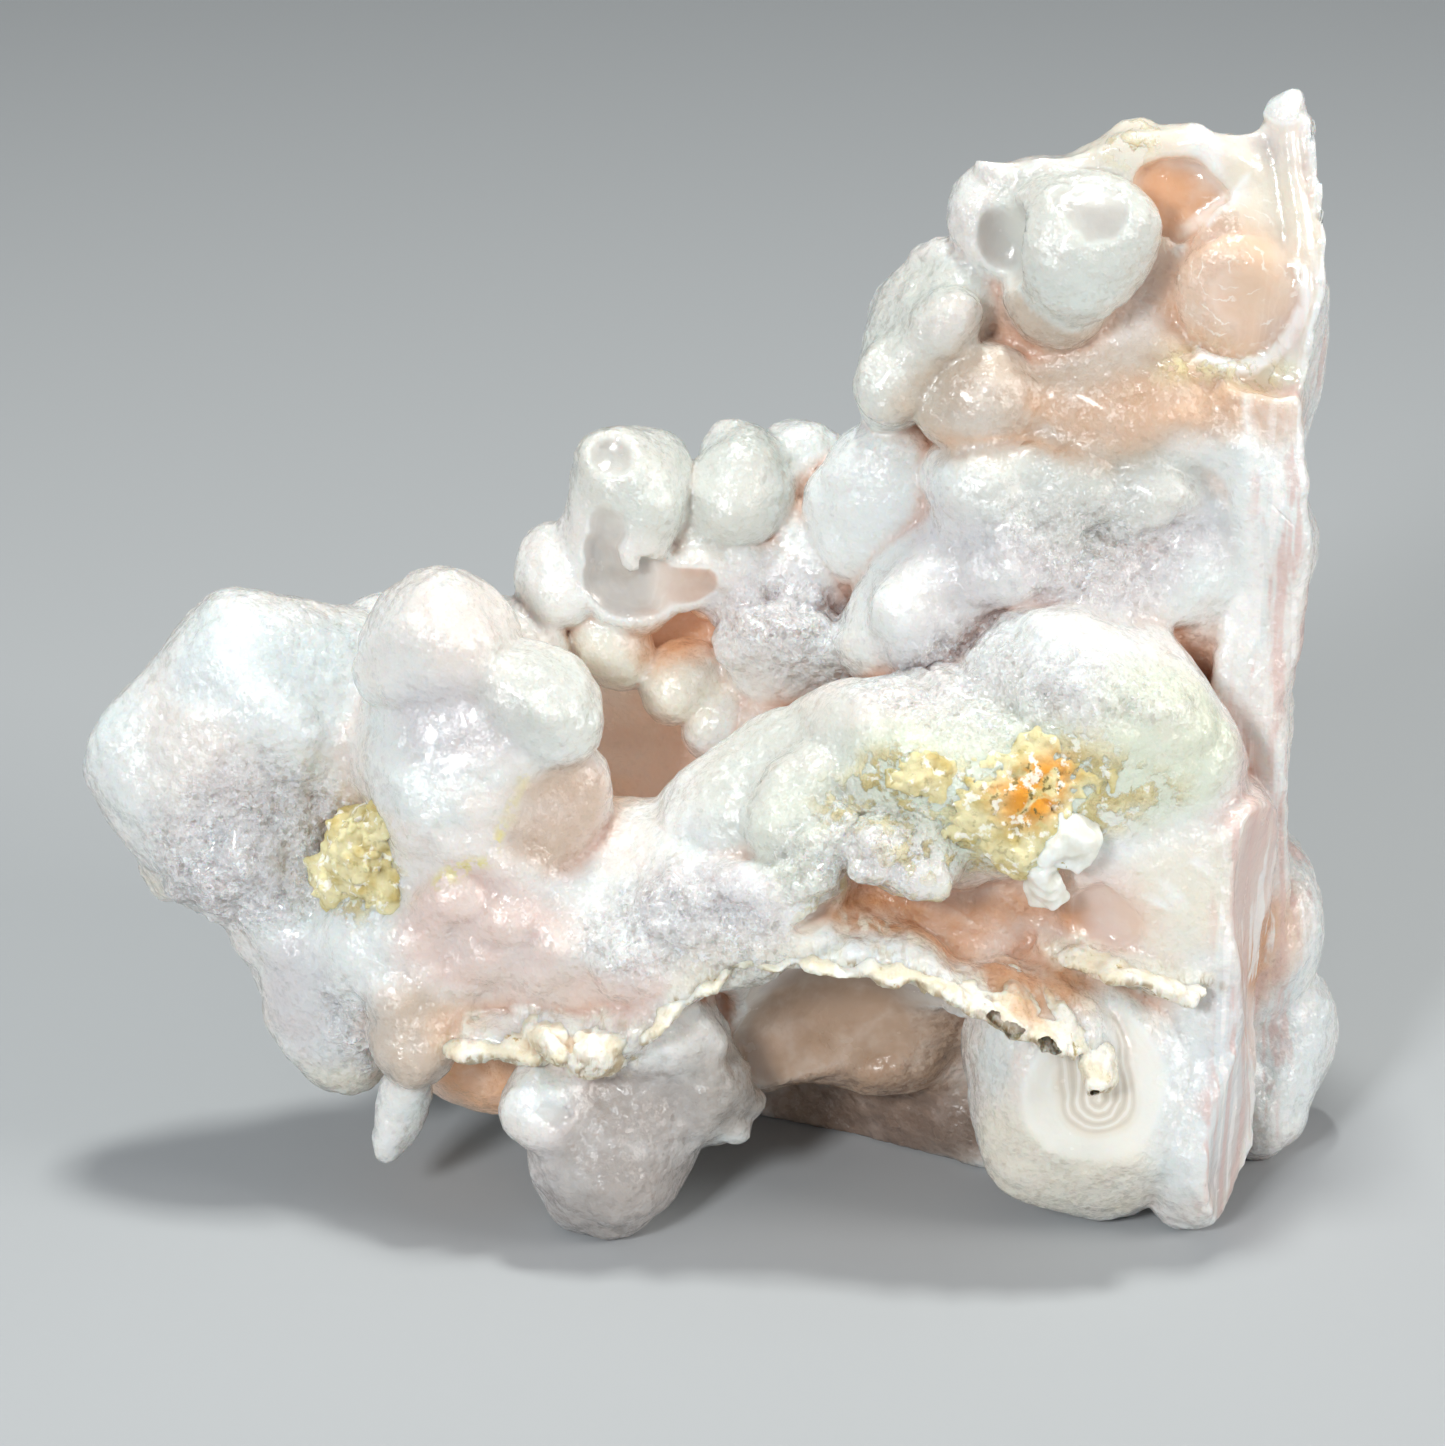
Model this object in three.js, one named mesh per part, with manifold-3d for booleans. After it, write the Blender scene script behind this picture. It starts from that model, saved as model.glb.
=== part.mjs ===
// Botryoidal pink opal: one natural piece of merged globes, broken open at the front,
// with two remnants of its ochre host rock seated in it. Millimetres, +Z up, front towards -Y.
import * as THREE from "three";
import { RoundedBoxGeometry } from "three/addons/geometries/RoundedBoxGeometry.js";
import { SimplifyModifier } from "three/addons/modifiers/SimplifyModifier.js";
import { mergeVertices } from "three/addons/utils/BufferGeometryUtils.js";
import Module from "manifold-3d";

const wasm = await Module();
wasm.setup();

// Driving dimensions, in mm
const SWAY = 0.45; // how far the lobes' outlines sway from true ellipsoids
const SEAT_GAP = 0.3; // clearance between a rock remnant and its socket in the opal
const EDGE_ROUND = 1.9; // most rounding of a slab's edges
const EDGE_SHARE = 0.3; // a thin slab's edges are rounded by this share of its half thickness
const ROCK_ROUGHNESS = 0.35; // height of the lumps on the host rock
const WELD = 1e-3; // points closer than this are one
const WORN = 0.12; // soles this close above the floor are worn level with it
const FLOOR_Z = 0; // the feet are worn flat here
const GROUND = [90, 70, 12]; // block under the feet that trims them
const OPAL_CORNERS = 4350; // corners left on the opal after thinning
const CRUST_CORNERS = 300;
const CRUMB_CORNERS = 220;
const LARGE_LOBE = 5.6; // mean half size above which a lobe gets the most facets
const SMALL_LOBE = 3.4; // mean half size below which it gets the fewest
const CENTRE = [0.03, 1.88]; // middle of the finished piece in the lobes' own x and y

// A lobe or a cut: centre, half sizes, and turns about x, y and z in degrees
const ball = (centre, half, turn = [0, 0, 0]) => ({ round: true, centre, half, turn });
const slab = (centre, half, turn = [0, 0, 0]) => ({ round: false, centre, half, turn });

const CORE = {
  "wing root": ball([-21, 1.5, 22], [7, 4.5, 8], [0, 15, 0]),
  "crown mass": ball([-13.6, -4.2, 25], [6.4, 6, 7.2]),
  "belly": ball([-15, -4, 16], [7.5, 6.5, 6.5]),
  "belly right": ball([-8, -5, 16.5], [6.5, 6.5, 6]),
  "shelf core": slab([13, -1, 19], [12, 8, 7]),
  "shelf slope": ball([-1, -5, 18.5], [8, 6.5, 5], [0, -20, 0]),
  "shelf apron": ball([0, -8.5, 18.8], [8, 5.5, 3.2], [20, -25, 0]),
  "right block": slab([24.4, -3, 15.5], [5.6, 8, 9]),
  "saddle": ball([20, 4, 33], [11, 6.5, 9]),
  "pocket floor": ball([-3, 7, 17], [9, 6, 6]),
  "pocket wall": ball([-1, 10, 27], [9, 5, 10]),
  "row wall": ball([2.5, 8.5, 29], [10, 4, 9.5]),
  "tower core": slab([22, 7, 45], [8.2, 6, 15]),
  "tower back": ball([21, 10, 49], [8.4, 5, 9.5]),
  "tower skirt": ball([22, 2, 43], [9, 4.5, 5]),
  "right wall": slab([29.2, 3.5, 34], [2, 6.5, 26], [0, 1.2, 0]),
  "back mass": ball([13, 9, 18], [17, 8, 15]),
  "arch wall": ball([8, -1.2, 10.6], [10, 5, 5.8]),
  "arch wall left": ball([1.8, -2.6, 9.8], [5.2, 4.6, 4.8]),
  "back sole": slab([10.2, 4.5, 5.6], [9, 5, 6.6], [0, 0, -27]),
};
const BREAKS = {
  "tower top": slab([20, 8, 64.2], [20, 16, 8], [-24, -8.5, 0]),
  "tower front": slab([20, -8.6, 57], [12, 9.5, 9.5], [-12, 0, 0]),
  "amber recess": slab([24.5, 0.8, 55.2], [2.4, 1.5, 1.5], [0, -50, 0]),
  "amber recess top": ball([23.7, 0.9, 56.2], [2.1, 1.5, 1.1], [0, -8, 0]),
  "cave": ball([7, -11.5, 8.6], [9.5, 6.5, 8.2]),
  "amber hollow": ball([10, -14.2, 19.6], [7, 4.2, 1.5], [0, 4, 0]),
  "pink nook": ball([20.6, -13.6, 19], [3.4, 3.6, 3]),
};
const LOBES = {
  "wing face": ball([-28.4, -1, 24], [6.5, 4.5, 6.5]),
  "wing plate": ball([-25.6, -1, 25], [7, 3.8, 7.6], [0, 28, 0]),
  "wing top": ball([-25.2, 0.5, 28.6], [5.6, 4.2, 5], [0, 30, 0]),
  "wing beak": ball([-21.4, 2, 29.3], [2.4, 2.5, 1.9]),
  "wing low": ball([-27.1, -2, 19.6], [4.9, 4, 4.4]),
  "wing heel": ball([-24, -2, 15.4], [4.1, 4, 4.4]),
  "wing hem": ball([-21.4, -4, 10.8], [3.9, 3.6, 5.2], [0, -12, 0]),
  "wing nub": ball([-31.1, -1, 17.4], [1.5, 1.4, 1.5]),
  "crown left": ball([-15, -4.5, 32], [4.5, 4.2, 4.4]),
  "crown right": ball([-10.4, -5.5, 29.3], [4, 4, 4]),
  "crown low": ball([-9.8, -5.5, 24], [3.5, 3.8, 4.2]),
  "fang root top": ball([-17.6, -8, 14.4], [2.3, 2.6, 2.3]),
  "fang root": ball([-17.3, -9, 11.4], [2.4, 2.5, 2.8]),
  "fang": ball([-18.1, -9, 6.9], [1.5, 1.4, 3.1], [0, 12, 0]),
  "peach knob": ball([-13.7, -3, 6.6], [3.7, 3.4, 3]),
  "foot knob": ball([-9.4, -11.3, 8.1], [2.8, 2.8, 2.8]),
  "middle foot": ball([-6, -9.5, 5.2], [4.7, 4.6, 5.5]),
  "middle foot right": ball([-1.8, -8, 7.6], [3.3, 4, 3.6]),
  "foot neck": ball([-4.5, -8, 11], [4.6, 4.4, 4.4]),
  "right foot": ball([19.9, -9, 8.2], [6.6, 5.6, 8.2], [0, -16, 0]),
  "right heel": ball([26.6, -10, 6], [3.4, 3.5, 6.2]),
  "right side": ball([26, -8, 11], [3.2, 4, 6]),
  "rear left foot": ball([-5, 7, 5], [5, 4.5, 5.2]),
  "shelf": ball([13.6, -6, 25.6], [10.6, 6.4, 6]),
  "shelf dome": ball([19.6, -5.5, 27.2], [7.4, 6.6, 7.6]),
  "shelf left": ball([4, -9, 25], [2.9, 3, 3]),
  "shelf left low": ball([5.2, -10, 22.8], [2.4, 2.8, 2.2]),
  "shelf front": ball([10.4, -10.4, 23], [3.6, 3.2, 2.6]),
  "shelf crest": ball([2, -5.5, 23.2], [6.6, 4.6, 4.4], [0, -30, 0]),
  "shelf right": ball([24.4, -5, 24.6], [3.8, 5.6, 6.6]),
  "saddle left": ball([11.6, -0.5, 33.6], [4.4, 4.2, 4.4]),
  "saddle corner": ball([9, 0, 32], [2.8, 3, 3.4]),
  "saddle fold": ball([17, 0.4, 40.2], [6, 3.6, 3]),
  "saddle middle": ball([18.4, 0.6, 35.6], [5.6, 4.5, 4]),
  "saddle right": ball([25, 0.5, 36], [4.6, 3.8, 5.6]),
  "broken globe": ball([-4.7, 3, 39], [3.4, 3.4, 3.6]),
  "row shoulder": ball([-9.2, 2.5, 33.4], [2.3, 2.6, 2.8]),
  "row low": ball([-5.7, 2.5, 34.3], [3.6, 3.4, 3.5]),
  "row neck": ball([-1.8, 4.5, 35.4], [2.8, 3, 3]),
  "facet lobe": ball([-2.4, 3, 34.2], [3, 3, 2.2]),
  "globe a": ball([1.2, 4.5, 38], [3.3, 3.4, 3.2]),
  "globe a bump": ball([0, 5.4, 39.8], [1.5, 1.5, 1.5]),
  "globe b": ball([4.1, 6.6, 38.9], [2.6, 2.8, 2.8]),
  "globe c": ball([8.8, 3, 38.2], [3.8, 3.8, 5.1], [0, 12, 0]),
  "globe d": ball([0.3, 4, 33.2], [2.8, 3.2, 2.9]),
  "globe d right": ball([3.6, 4.4, 32.8], [3.2, 3.2, 3]),
  "row backing": ball([5.6, 4.6, 34.6], [3, 3, 3.6]),
  "globe e": ball([3.2, 3, 28.9], [3.8, 3.6, 3.7]),
  "globe e right": ball([6, 3, 29.4], [2.6, 3, 3]),
  "globe f": ball([-0.4, 2.8, 25.5], [2, 2.4, 2.4]),
  "globe g": ball([3, 3, 25], [3.2, 3, 3]),
  "pocket knob": ball([-2.8, 2.8, 27.8], [2.3, 2.3, 2.2]),
  "cream lobe": ball([-6.6, 3, 29.7], [2.4, 2.4, 2.6]),
  "tower left": ball([10.6, 3, 46.8], [3.4, 4, 4.4], [0, 25, 0]),
  "tower shoulder": ball([12.6, 4, 49.4], [2.8, 3.2, 2.8]),
  "tower heel": ball([9.6, 4, 43.4], [2, 2.2, 2.1]),
  "tower chin": ball([14.4, 0.5, 44.6], [3.6, 3.4, 3]),
  "tower corner": ball([14.8, 3, 53.4], [2.5, 2.6, 3.2]),
  "tower globe": ball([18.8, -0.4, 53.8], [4, 3.9, 4]),
  "under the globe": ball([17.4, 0.2, 51.2], [3.2, 2.9, 2.9]),
  "tower disc": ball([27.6, 0.7, 50.3], [3.7, 1.8, 3.8]),
  "tower ledge": ball([26.4, 0.4, 46.4], [4.2, 2, 1], [0, -6, 0]),
  "tip": ball([30.2, 2.4, 59.4], [1.1, 1.1, 1.7], [0, 10, 0]),
  "rim bump": ball([22, 2.6, 58.2], [2.2, 1.5, 0.9], [0, -6, 0]),
  "rim left": ball([17.6, 2.6, 57.2], [2.2, 1.3, 0.7], [0, -8, 0]),
  "rim right": ball([26.2, 2.4, 58.2], [2.8, 1.5, 0.9], [0, 2, 0]),
  "back globe a": ball([18, 12.4, 42], [7.2, 4.2, 6.4]),
  "back globe b": ball([25, 11.5, 47], [5.4, 4, 5.4]),
  "back globe c": ball([23, 13, 33], [6.6, 4.2, 6]),
  "back globe d": ball([11, 14, 30], [7, 4.6, 6.4]),
  "back globe e": ball([20, 15, 23], [7.4, 4.2, 6.2]),
  "back globe f": ball([4, 14, 21], [6.8, 4.8, 6.2]),
  "back globe g": ball([13, 16, 14], [7.2, 4.2, 6.2]),
  "back globe h": ball([-3.5, 12.5, 28], [6, 4.6, 6]),
  "back globe i": ball([-7, 11, 18], [6, 4.8, 6]),
  "back globe j": ball([-15.5, 5, 19.5], [5.6, 4.4, 5.8]),
  "back globe k": ball([-18, 4, 27], [4.6, 3.8, 4.6]),
  "back globe l": ball([24, 14, 9], [6, 4.6, 6.4]),
  "back globe m": ball([5, 13, 9], [6, 4.6, 6.2]),
  "back globe n": ball([14.5, 11.5, 48], [3.8, 3.4, 3.8]),
  "crown back": ball([-12.5, 2, 29], [3.6, 3.4, 3.8]),
};
const LIP = {
  "lip a": ball([-13.6, -9.4, 11.4], [2.5, 3, 0.8], [0, 8, 0]),
  "lip b": ball([-11, -10.4, 11.5], [2.5, 3, 0.9], [0, -10, 20]),
  "lip c": ball([-8.8, -11.4, 12.2], [2.4, 3, 1.3], [0, 12, 0]),
  "lip d": ball([-6.8, -11.8, 12.2], [2.4, 3, 1.8], [0, -20, -15]),
  "lip e": ball([-3.8, -11.2, 14], [2.7, 3, 0.8], [0, -42, 0]),
  "lip f": ball([-1.2, -11.2, 16.2], [2.8, 3, 0.6], [0, -36, 10]),
  "lip g": ball([2, -11.4, 17.6], [3, 3, 0.6], [0, -16, 0]),
  "lip h": ball([5.4, -11.7, 18], [2.8, 3, 0.6], [0, 2, -8]),
  "lip i": ball([8.6, -12.1, 17.7], [2.8, 3, 0.8], [0, 8, 8]),
  "lip j": ball([12, -12.6, 16.6], [3, 3, 0.9], [0, 20, 0]),
  "lip k": ball([15.2, -13.1, 15.4], [2.8, 2.8, 0.8], [0, 22, -10]),
  "lip l": ball([18, -13.4, 14.1], [2.7, 2.8, 0.8], [0, 36, 0]),
  "lip m": ball([19.9, -13.4, 12.2], [2.2, 2.4, 0.7], [0, 58, 0]),
  "second lip": ball([21.8, -11.6, 16.2], [4.2, 2.2, 0.8], [0, 4, 0]),
};
const FLAKES = {
  "white chip": slab([18.7, -12.4, 24], [1.4, 0.9, 1.2], [24, 32, 20]),
  "white splinter": slab([17.4, -12.2, 21.8], [0.7, 0.8, 1.6], [0, -20, 40]),
};
const CHIPS = {
  "right foot face": slab([20, -19.4, 8], [10, 5.5, 12], [-12, 0, 4]),
  "right face": slab([34.4, -8, 18], [5, 9, 30], [0, 0, -22]),
  "corner hollow": ball([14.2, -0.8, 53.3], [2.1, 2.2, 3], [0, 16, 0]),
  "disc face": ball([26.9, -5.3, 51.2], [6, 4.7, 5.6]),
  "globe window": ball([-6.3, -0.8, 42.7], [2.7, 2.6, 2.4]),
  "scoop top": ball([-6.6, -1.6, 37.8], [1.5, 1.6, 1.8]),
  "scoop middle": ball([-7, -1.6, 35.6], [1.4, 1.6, 1.7]),
  "scoop low": ball([-6.6, -2.4, 33.2], [3.4, 2.8, 2.8], [0, 12, 0]),
  "row facet": slab([-2.4, -1.6, 34], [2.6, 2.2, 1.8], [0, 10, 8]),
};
const LATE = {
  "rear sole right": ball([30.4, 0.8, 5.4], [4.8, 5.4, 5.6]),
  "rear right": ball([30.2, 1, 12], [3.3, 5, 7.2], [0, 8, 0]),
  "rear right up": ball([29.6, 3, 35.5], [3.4, 3.5, 4.6]),
  "side upper": ball([30.6, 3, 45.5], [1.7, 3.4, 8]),
  "side front band": ball([30.4, -1.2, 36.5], [1, 1.4, 24], [-6, 0, 0]),
  "side rear band": ball([30.6, 6.4, 26], [1.3, 2.4, 17]),
};
// Host rock left on the shelf
const CRUST = {
  "crust middle": ball([15.2, -10.5, 26.4], [5.2, 2.1, 3], [-18, 0, 0]),
  "crust left": ball([11, -10.9, 27.2], [2.2, 1.6, 1.7]),
  "crust right": ball([20, -10.5, 27], [2.2, 1.4, 1.2]),
  "crust low": ball([17, -11.4, 24.2], [2.2, 1.8, 1.8]),
  "crust top": ball([16.6, -10.1, 28.4], [2.2, 1.6, 1.2]),
};
// Host rock between the wing and the belly
const CRUMB = {
  "crumb middle": ball([-19.4, -6.2, 21.2], [2.7, 2.7, 2.6]),
  "crumb spike": ball([-18.6, -6.8, 23.2], [1.3, 1.6, 1.6]),
  "crumb left": ball([-21.4, -5.6, 19.6], [1.6, 1.7, 1.4]),
  "crumb right": ball([-17.8, -7.6, 19.8], [1.6, 1.7, 1.6]),
};

// The slow sway of a point: three sines, one for each axis
function sway(p) {
  return new THREE.Vector3(
    SWAY * Math.sin(0.55 * p.y + 0.31 * p.z + 1),
    SWAY * Math.sin(0.5 * p.z + 0.37 * p.x + 2),
    SWAY * Math.sin(0.6 * p.x + 0.29 * p.y + 3),
  );
}

// Turn about x, then y, then z
function turning([a, b, c]) {
  const [x, y, z] = [a, b, c].map(THREE.MathUtils.degToRad);
  return new THREE.Matrix4().makeRotationFromEuler(new THREE.Euler(x, y, z, "ZYX"));
}

// Big lobes get more facets than small ones
function facets(half) {
  const size = (half[0] + half[1] + half[2]) / 3;
  return size > LARGE_LOBE ? 4 : size > SMALL_LOBE ? 3 : 2;
}

const edgeRadius = (half) => Math.min(EDGE_ROUND, EDGE_SHARE * Math.min(...half));

function formGeometry(form, grow = 0) {
  const half = form.half.map((h) => h + grow);
  const geometry = form.round
    ? new THREE.IcosahedronGeometry(1, facets(half)).scale(...half)
    : new RoundedBoxGeometry(2 * half[0], 2 * half[1], 2 * half[2], 1, edgeRadius(half));
  return geometry.applyMatrix4(turning(form.turn)).translate(...form.centre);
}

function moveVertices(geometry, shift) {
  const place = geometry.attributes.position;
  const p = new THREE.Vector3();
  for (let i = 0; i < place.count; i += 1) {
    p.fromBufferAttribute(place, i);
    p.add(shift(p));
    place.setXYZ(i, p.x, p.y, p.z);
  }
  return geometry;
}

function solid(geometry) {
  geometry.deleteAttribute("normal");
  geometry.deleteAttribute("uv");
  const merged = mergeVertices(geometry, WELD);
  const vertProperties = new Float32Array(merged.attributes.position.array);
  const triVerts = new Uint32Array(merged.index.array);
  return new wasm.Manifold(new wasm.Mesh({ numProp: 3, vertProperties, triVerts }));
}

const lobe = (form) => solid(moveVertices(formGeometry(form), (p) => sway(p).negate()));

function addAll(body, forms) {
  return Object.values(forms).reduce((sum, form) => sum.add(lobe(form)), body);
}

function cutAll(body, forms) {
  return Object.values(forms).reduce((rest, form) => rest.subtract(lobe(form)), body);
}

// Chips that came free and bubbles closed off inside are left out
function largestBody(body) {
  return body.decompose().reduce((best, part) => (part.volume() > best.volume() ? part : best));
}

// A rock's surface is only ever dented, so that it stays clear of its socket
function dent(p) {
  const across = Math.sin(3.1 * p.x + 1.3 * p.z) * Math.sin(2.3 * p.y + 0.7 * p.x);
  const wave = across * Math.sin(2.7 * p.z + 1.9 * p.y);
  return ROCK_ROUGHNESS * (0.5 + 0.5 * wave);
}

function rockLump(form) {
  const middle = new THREE.Vector3(...form.centre);
  const inward = (p) => middle.clone().sub(p).setLength(dent(p));
  return solid(moveVertices(formGeometry(form), inward));
}

const rock = (forms) => Object.values(forms).map(rockLump).reduce((sum, lump) => sum.add(lump));

function cutSocket(body, forms) {
  const grown = (form) => solid(formGeometry(form, SEAT_GAP));
  return Object.values(forms).reduce((rest, form) => rest.subtract(grown(form)), body);
}

function groundBlock() {
  const [width, depth, height] = GROUND;
  return solid(new THREE.BoxGeometry(width, depth, height).translate(0, 0, FLOOR_Z - height / 2));
}

function opalBody() {
  const [first, ...others] = Object.values(CORE);
  const core = others.reduce((sum, form) => sum.add(lobe(form)), lobe(first));
  const broken = cutAll(core, BREAKS);
  const globes = cutAll(addAll(broken, LOBES), CHIPS);
  const whole = addAll(addAll(addAll(globes, LIP), FLAKES), LATE);
  const seated = cutSocket(cutSocket(whole, CRUST), CRUMB);
  return largestBody(seated.subtract(groundBlock()));
}

function geometryOf(body) {
  const { numProp, vertProperties, triVerts } = body.getMesh();
  const geometry = new THREE.BufferGeometry();
  geometry.setAttribute("position", new THREE.BufferAttribute(new Float32Array(vertProperties), numProp));
  geometry.setIndex(new THREE.BufferAttribute(new Uint32Array(triVerts), 1));
  return geometry;
}

// The soles of the feet, worn flat on the floor
function worn(geometry) {
  return moveVertices(geometry, (p) => new THREE.Vector3(0, 0, p.z < WORN ? FLOOR_Z - p.z : 0));
}

// Joined lobes leave slivers along their creases, so the surface is thinned to its main facets
async function thinned(body, mostCorners) {
  const geometry = geometryOf(body);
  const surplus = Math.max(0, geometry.attributes.position.count - mostCorners);
  const lighter = await new SimplifyModifier().modify(geometry, surplus);
  return largestBody(solid(worn(lighter)));
}

function namedMesh(name, body, material) {
  const geometry = geometryOf(body);
  geometry.computeVertexNormals();
  const mesh = new THREE.Mesh(geometry, material);
  mesh.name = name;
  return mesh;
}

const opal = new THREE.MeshStandardMaterial({ color: "#eee2de", roughness: 0.35, metalness: 0 });
const ochre = new THREE.MeshStandardMaterial({ color: "#d8c38c", roughness: 0.9, metalness: 0 });

const specimen = new THREE.Group();
specimen.add(namedMesh("opal_body", await thinned(opalBody(), OPAL_CORNERS), opal));
specimen.add(namedMesh("matrix_crust", await thinned(rock(CRUST), CRUST_CORNERS), ochre));
specimen.add(namedMesh("matrix_crumb", await thinned(rock(CRUMB), CRUMB_CORNERS), ochre));
specimen.position.set(-CENTRE[0], -CENTRE[1], 0);

export default specimen;
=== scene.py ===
import math

import bpy
import numpy as np
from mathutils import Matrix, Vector


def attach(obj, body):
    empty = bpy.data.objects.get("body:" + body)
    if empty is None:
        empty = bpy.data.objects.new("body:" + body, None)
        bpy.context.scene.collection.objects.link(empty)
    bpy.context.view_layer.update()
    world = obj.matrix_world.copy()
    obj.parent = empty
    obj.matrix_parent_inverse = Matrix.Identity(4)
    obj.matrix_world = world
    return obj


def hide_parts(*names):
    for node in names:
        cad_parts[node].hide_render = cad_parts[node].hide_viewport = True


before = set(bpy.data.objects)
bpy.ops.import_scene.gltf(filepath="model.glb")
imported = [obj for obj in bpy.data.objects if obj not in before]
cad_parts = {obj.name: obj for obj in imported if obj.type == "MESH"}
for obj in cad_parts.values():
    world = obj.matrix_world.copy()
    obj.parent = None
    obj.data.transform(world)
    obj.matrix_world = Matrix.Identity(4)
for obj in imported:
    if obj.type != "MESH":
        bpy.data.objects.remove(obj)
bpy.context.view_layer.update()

# Lengths are in mm in the lobes' own frame; in_metres turns them into the scene's
MM = 0.001
CENTRE = np.array((0.03, 1.88, 0.0))  # middle of the specimen's foot in the lobes' own frame
STEP = 0.3  # grid step of the opal
ROCK_STEP = 0.13  # grid step of the host rock
LIP_STEP = 0.16  # grid step of the ragged lip
FLAKE_STEP = 0.1  # grid step of the white splinters
LOW = (-38.0, -20.0, -1.5)  # corners of the opal's grid
HIGH = (40.0, 22.0, 64.0)
SWAY = 0.45  # how far the lobes' outlines sway from true ellipsoids
EDGE_ROUND = 1.9  # most rounding of a slab's edges
EDGE_SHARE = 0.3  # a thin slab's edges are rounded by this share of its half thickness
MOST_TRIANGLES = 196000  # a larger piece is thinned to this
FAR = 3.0  # a form isn't felt further off than this
SHELL = 0.26  # thickness of the shell that spalled off
LIP_BACK = 0.9  # the opal's own edge lies this far behind the lip
LIP_UP = 0.1  # and this far above it
HOOK = ((20, -13.6, 12.6), (20.3, -13.9, 9.8))  # the line that the right foot's bands hook round
DISC = ((27, -1, 52.6), (27.2, -1, 52.0))  # the line that the tower disc's arcs run round


def ball(centre, half, turn=(0, 0, 0)):
    """An ellipsoid: centre, half sizes, and turns about x, y and z in degrees."""
    return ("ball", centre, half, turn)


def slab(centre, half, turn=(0, 0, 0)):
    """A block with rounded edges, given as a ball is."""
    return ("slab", centre, half, turn)


# The core that the lobes grew on
CORE = {
    "wing root": ball((-21, 1.5, 22), (7, 4.5, 8), (0, 15, 0)),
    "crown mass": ball((-13.6, -4.2, 25), (6.4, 6, 7.2)),
    "belly": ball((-15, -4, 16), (7.5, 6.5, 6.5)),
    "belly right": ball((-8, -5, 16.5), (6.5, 6.5, 6)),
    "shelf core": slab((13, -1, 19), (12, 8, 7)),
    "shelf slope": ball((-1, -5, 18.5), (8, 6.5, 5), (0, -20, 0)),
    "shelf apron": ball((0, -8.5, 18.8), (8, 5.5, 3.2), (20, -25, 0)),
    "right block": slab((24.4, -3, 15.5), (5.6, 8, 9)),
    "saddle": ball((20, 4, 33), (11, 6.5, 9)),
    "pocket floor": ball((-3, 7, 17), (9, 6, 6)),
    "pocket wall": ball((-1, 10, 27), (9, 5, 10)),
    "row wall": ball((2.5, 8.5, 29), (10, 4, 9.5)),
    "tower core": slab((22, 7, 45), (8.2, 6, 15)),
    "tower back": ball((21, 10, 49), (8.4, 5, 9.5)),
    "tower skirt": ball((22, 2, 43), (9, 4.5, 5)),
    "right wall": slab((29.2, 3.5, 34), (2, 6.5, 26), (0, 1.2, 0)),
    "back mass": ball((13, 9, 18), (17, 8, 15)),
    "arch wall": ball((8, -1.2, 10.6), (10, 5, 5.8)),
    "arch wall left": ball((1.8, -2.6, 9.8), (5.2, 4.6, 4.8)),
    "back sole": slab((10.2, 4.5, 5.6), (9, 5, 6.6), (0, 0, -27)),
}
# What broke out of the core
BREAKS = {
    "tower top": slab((20, 8, 64.2), (20, 16, 8), (-24, -8.5, 0)),
    "tower front": slab((20, -8.6, 57), (12, 9.5, 9.5), (-12, 0, 0)),
    "amber recess": slab((24.5, 0.8, 55.2), (2.4, 1.5, 1.5), (0, -50, 0)),
    "amber recess top": ball((23.7, 0.9, 56.2), (2.1, 1.5, 1.1), (0, -8, 0)),
    "cave": ball((7, -11.5, 8.6), (9.5, 6.5, 8.2)),
    "amber hollow": ball((10, -14.2, 19.6), (7, 4.2, 1.5), (0, 4, 0)),
    "pink nook": ball((20.6, -13.6, 19), (3.4, 3.6, 3)),
}
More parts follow.
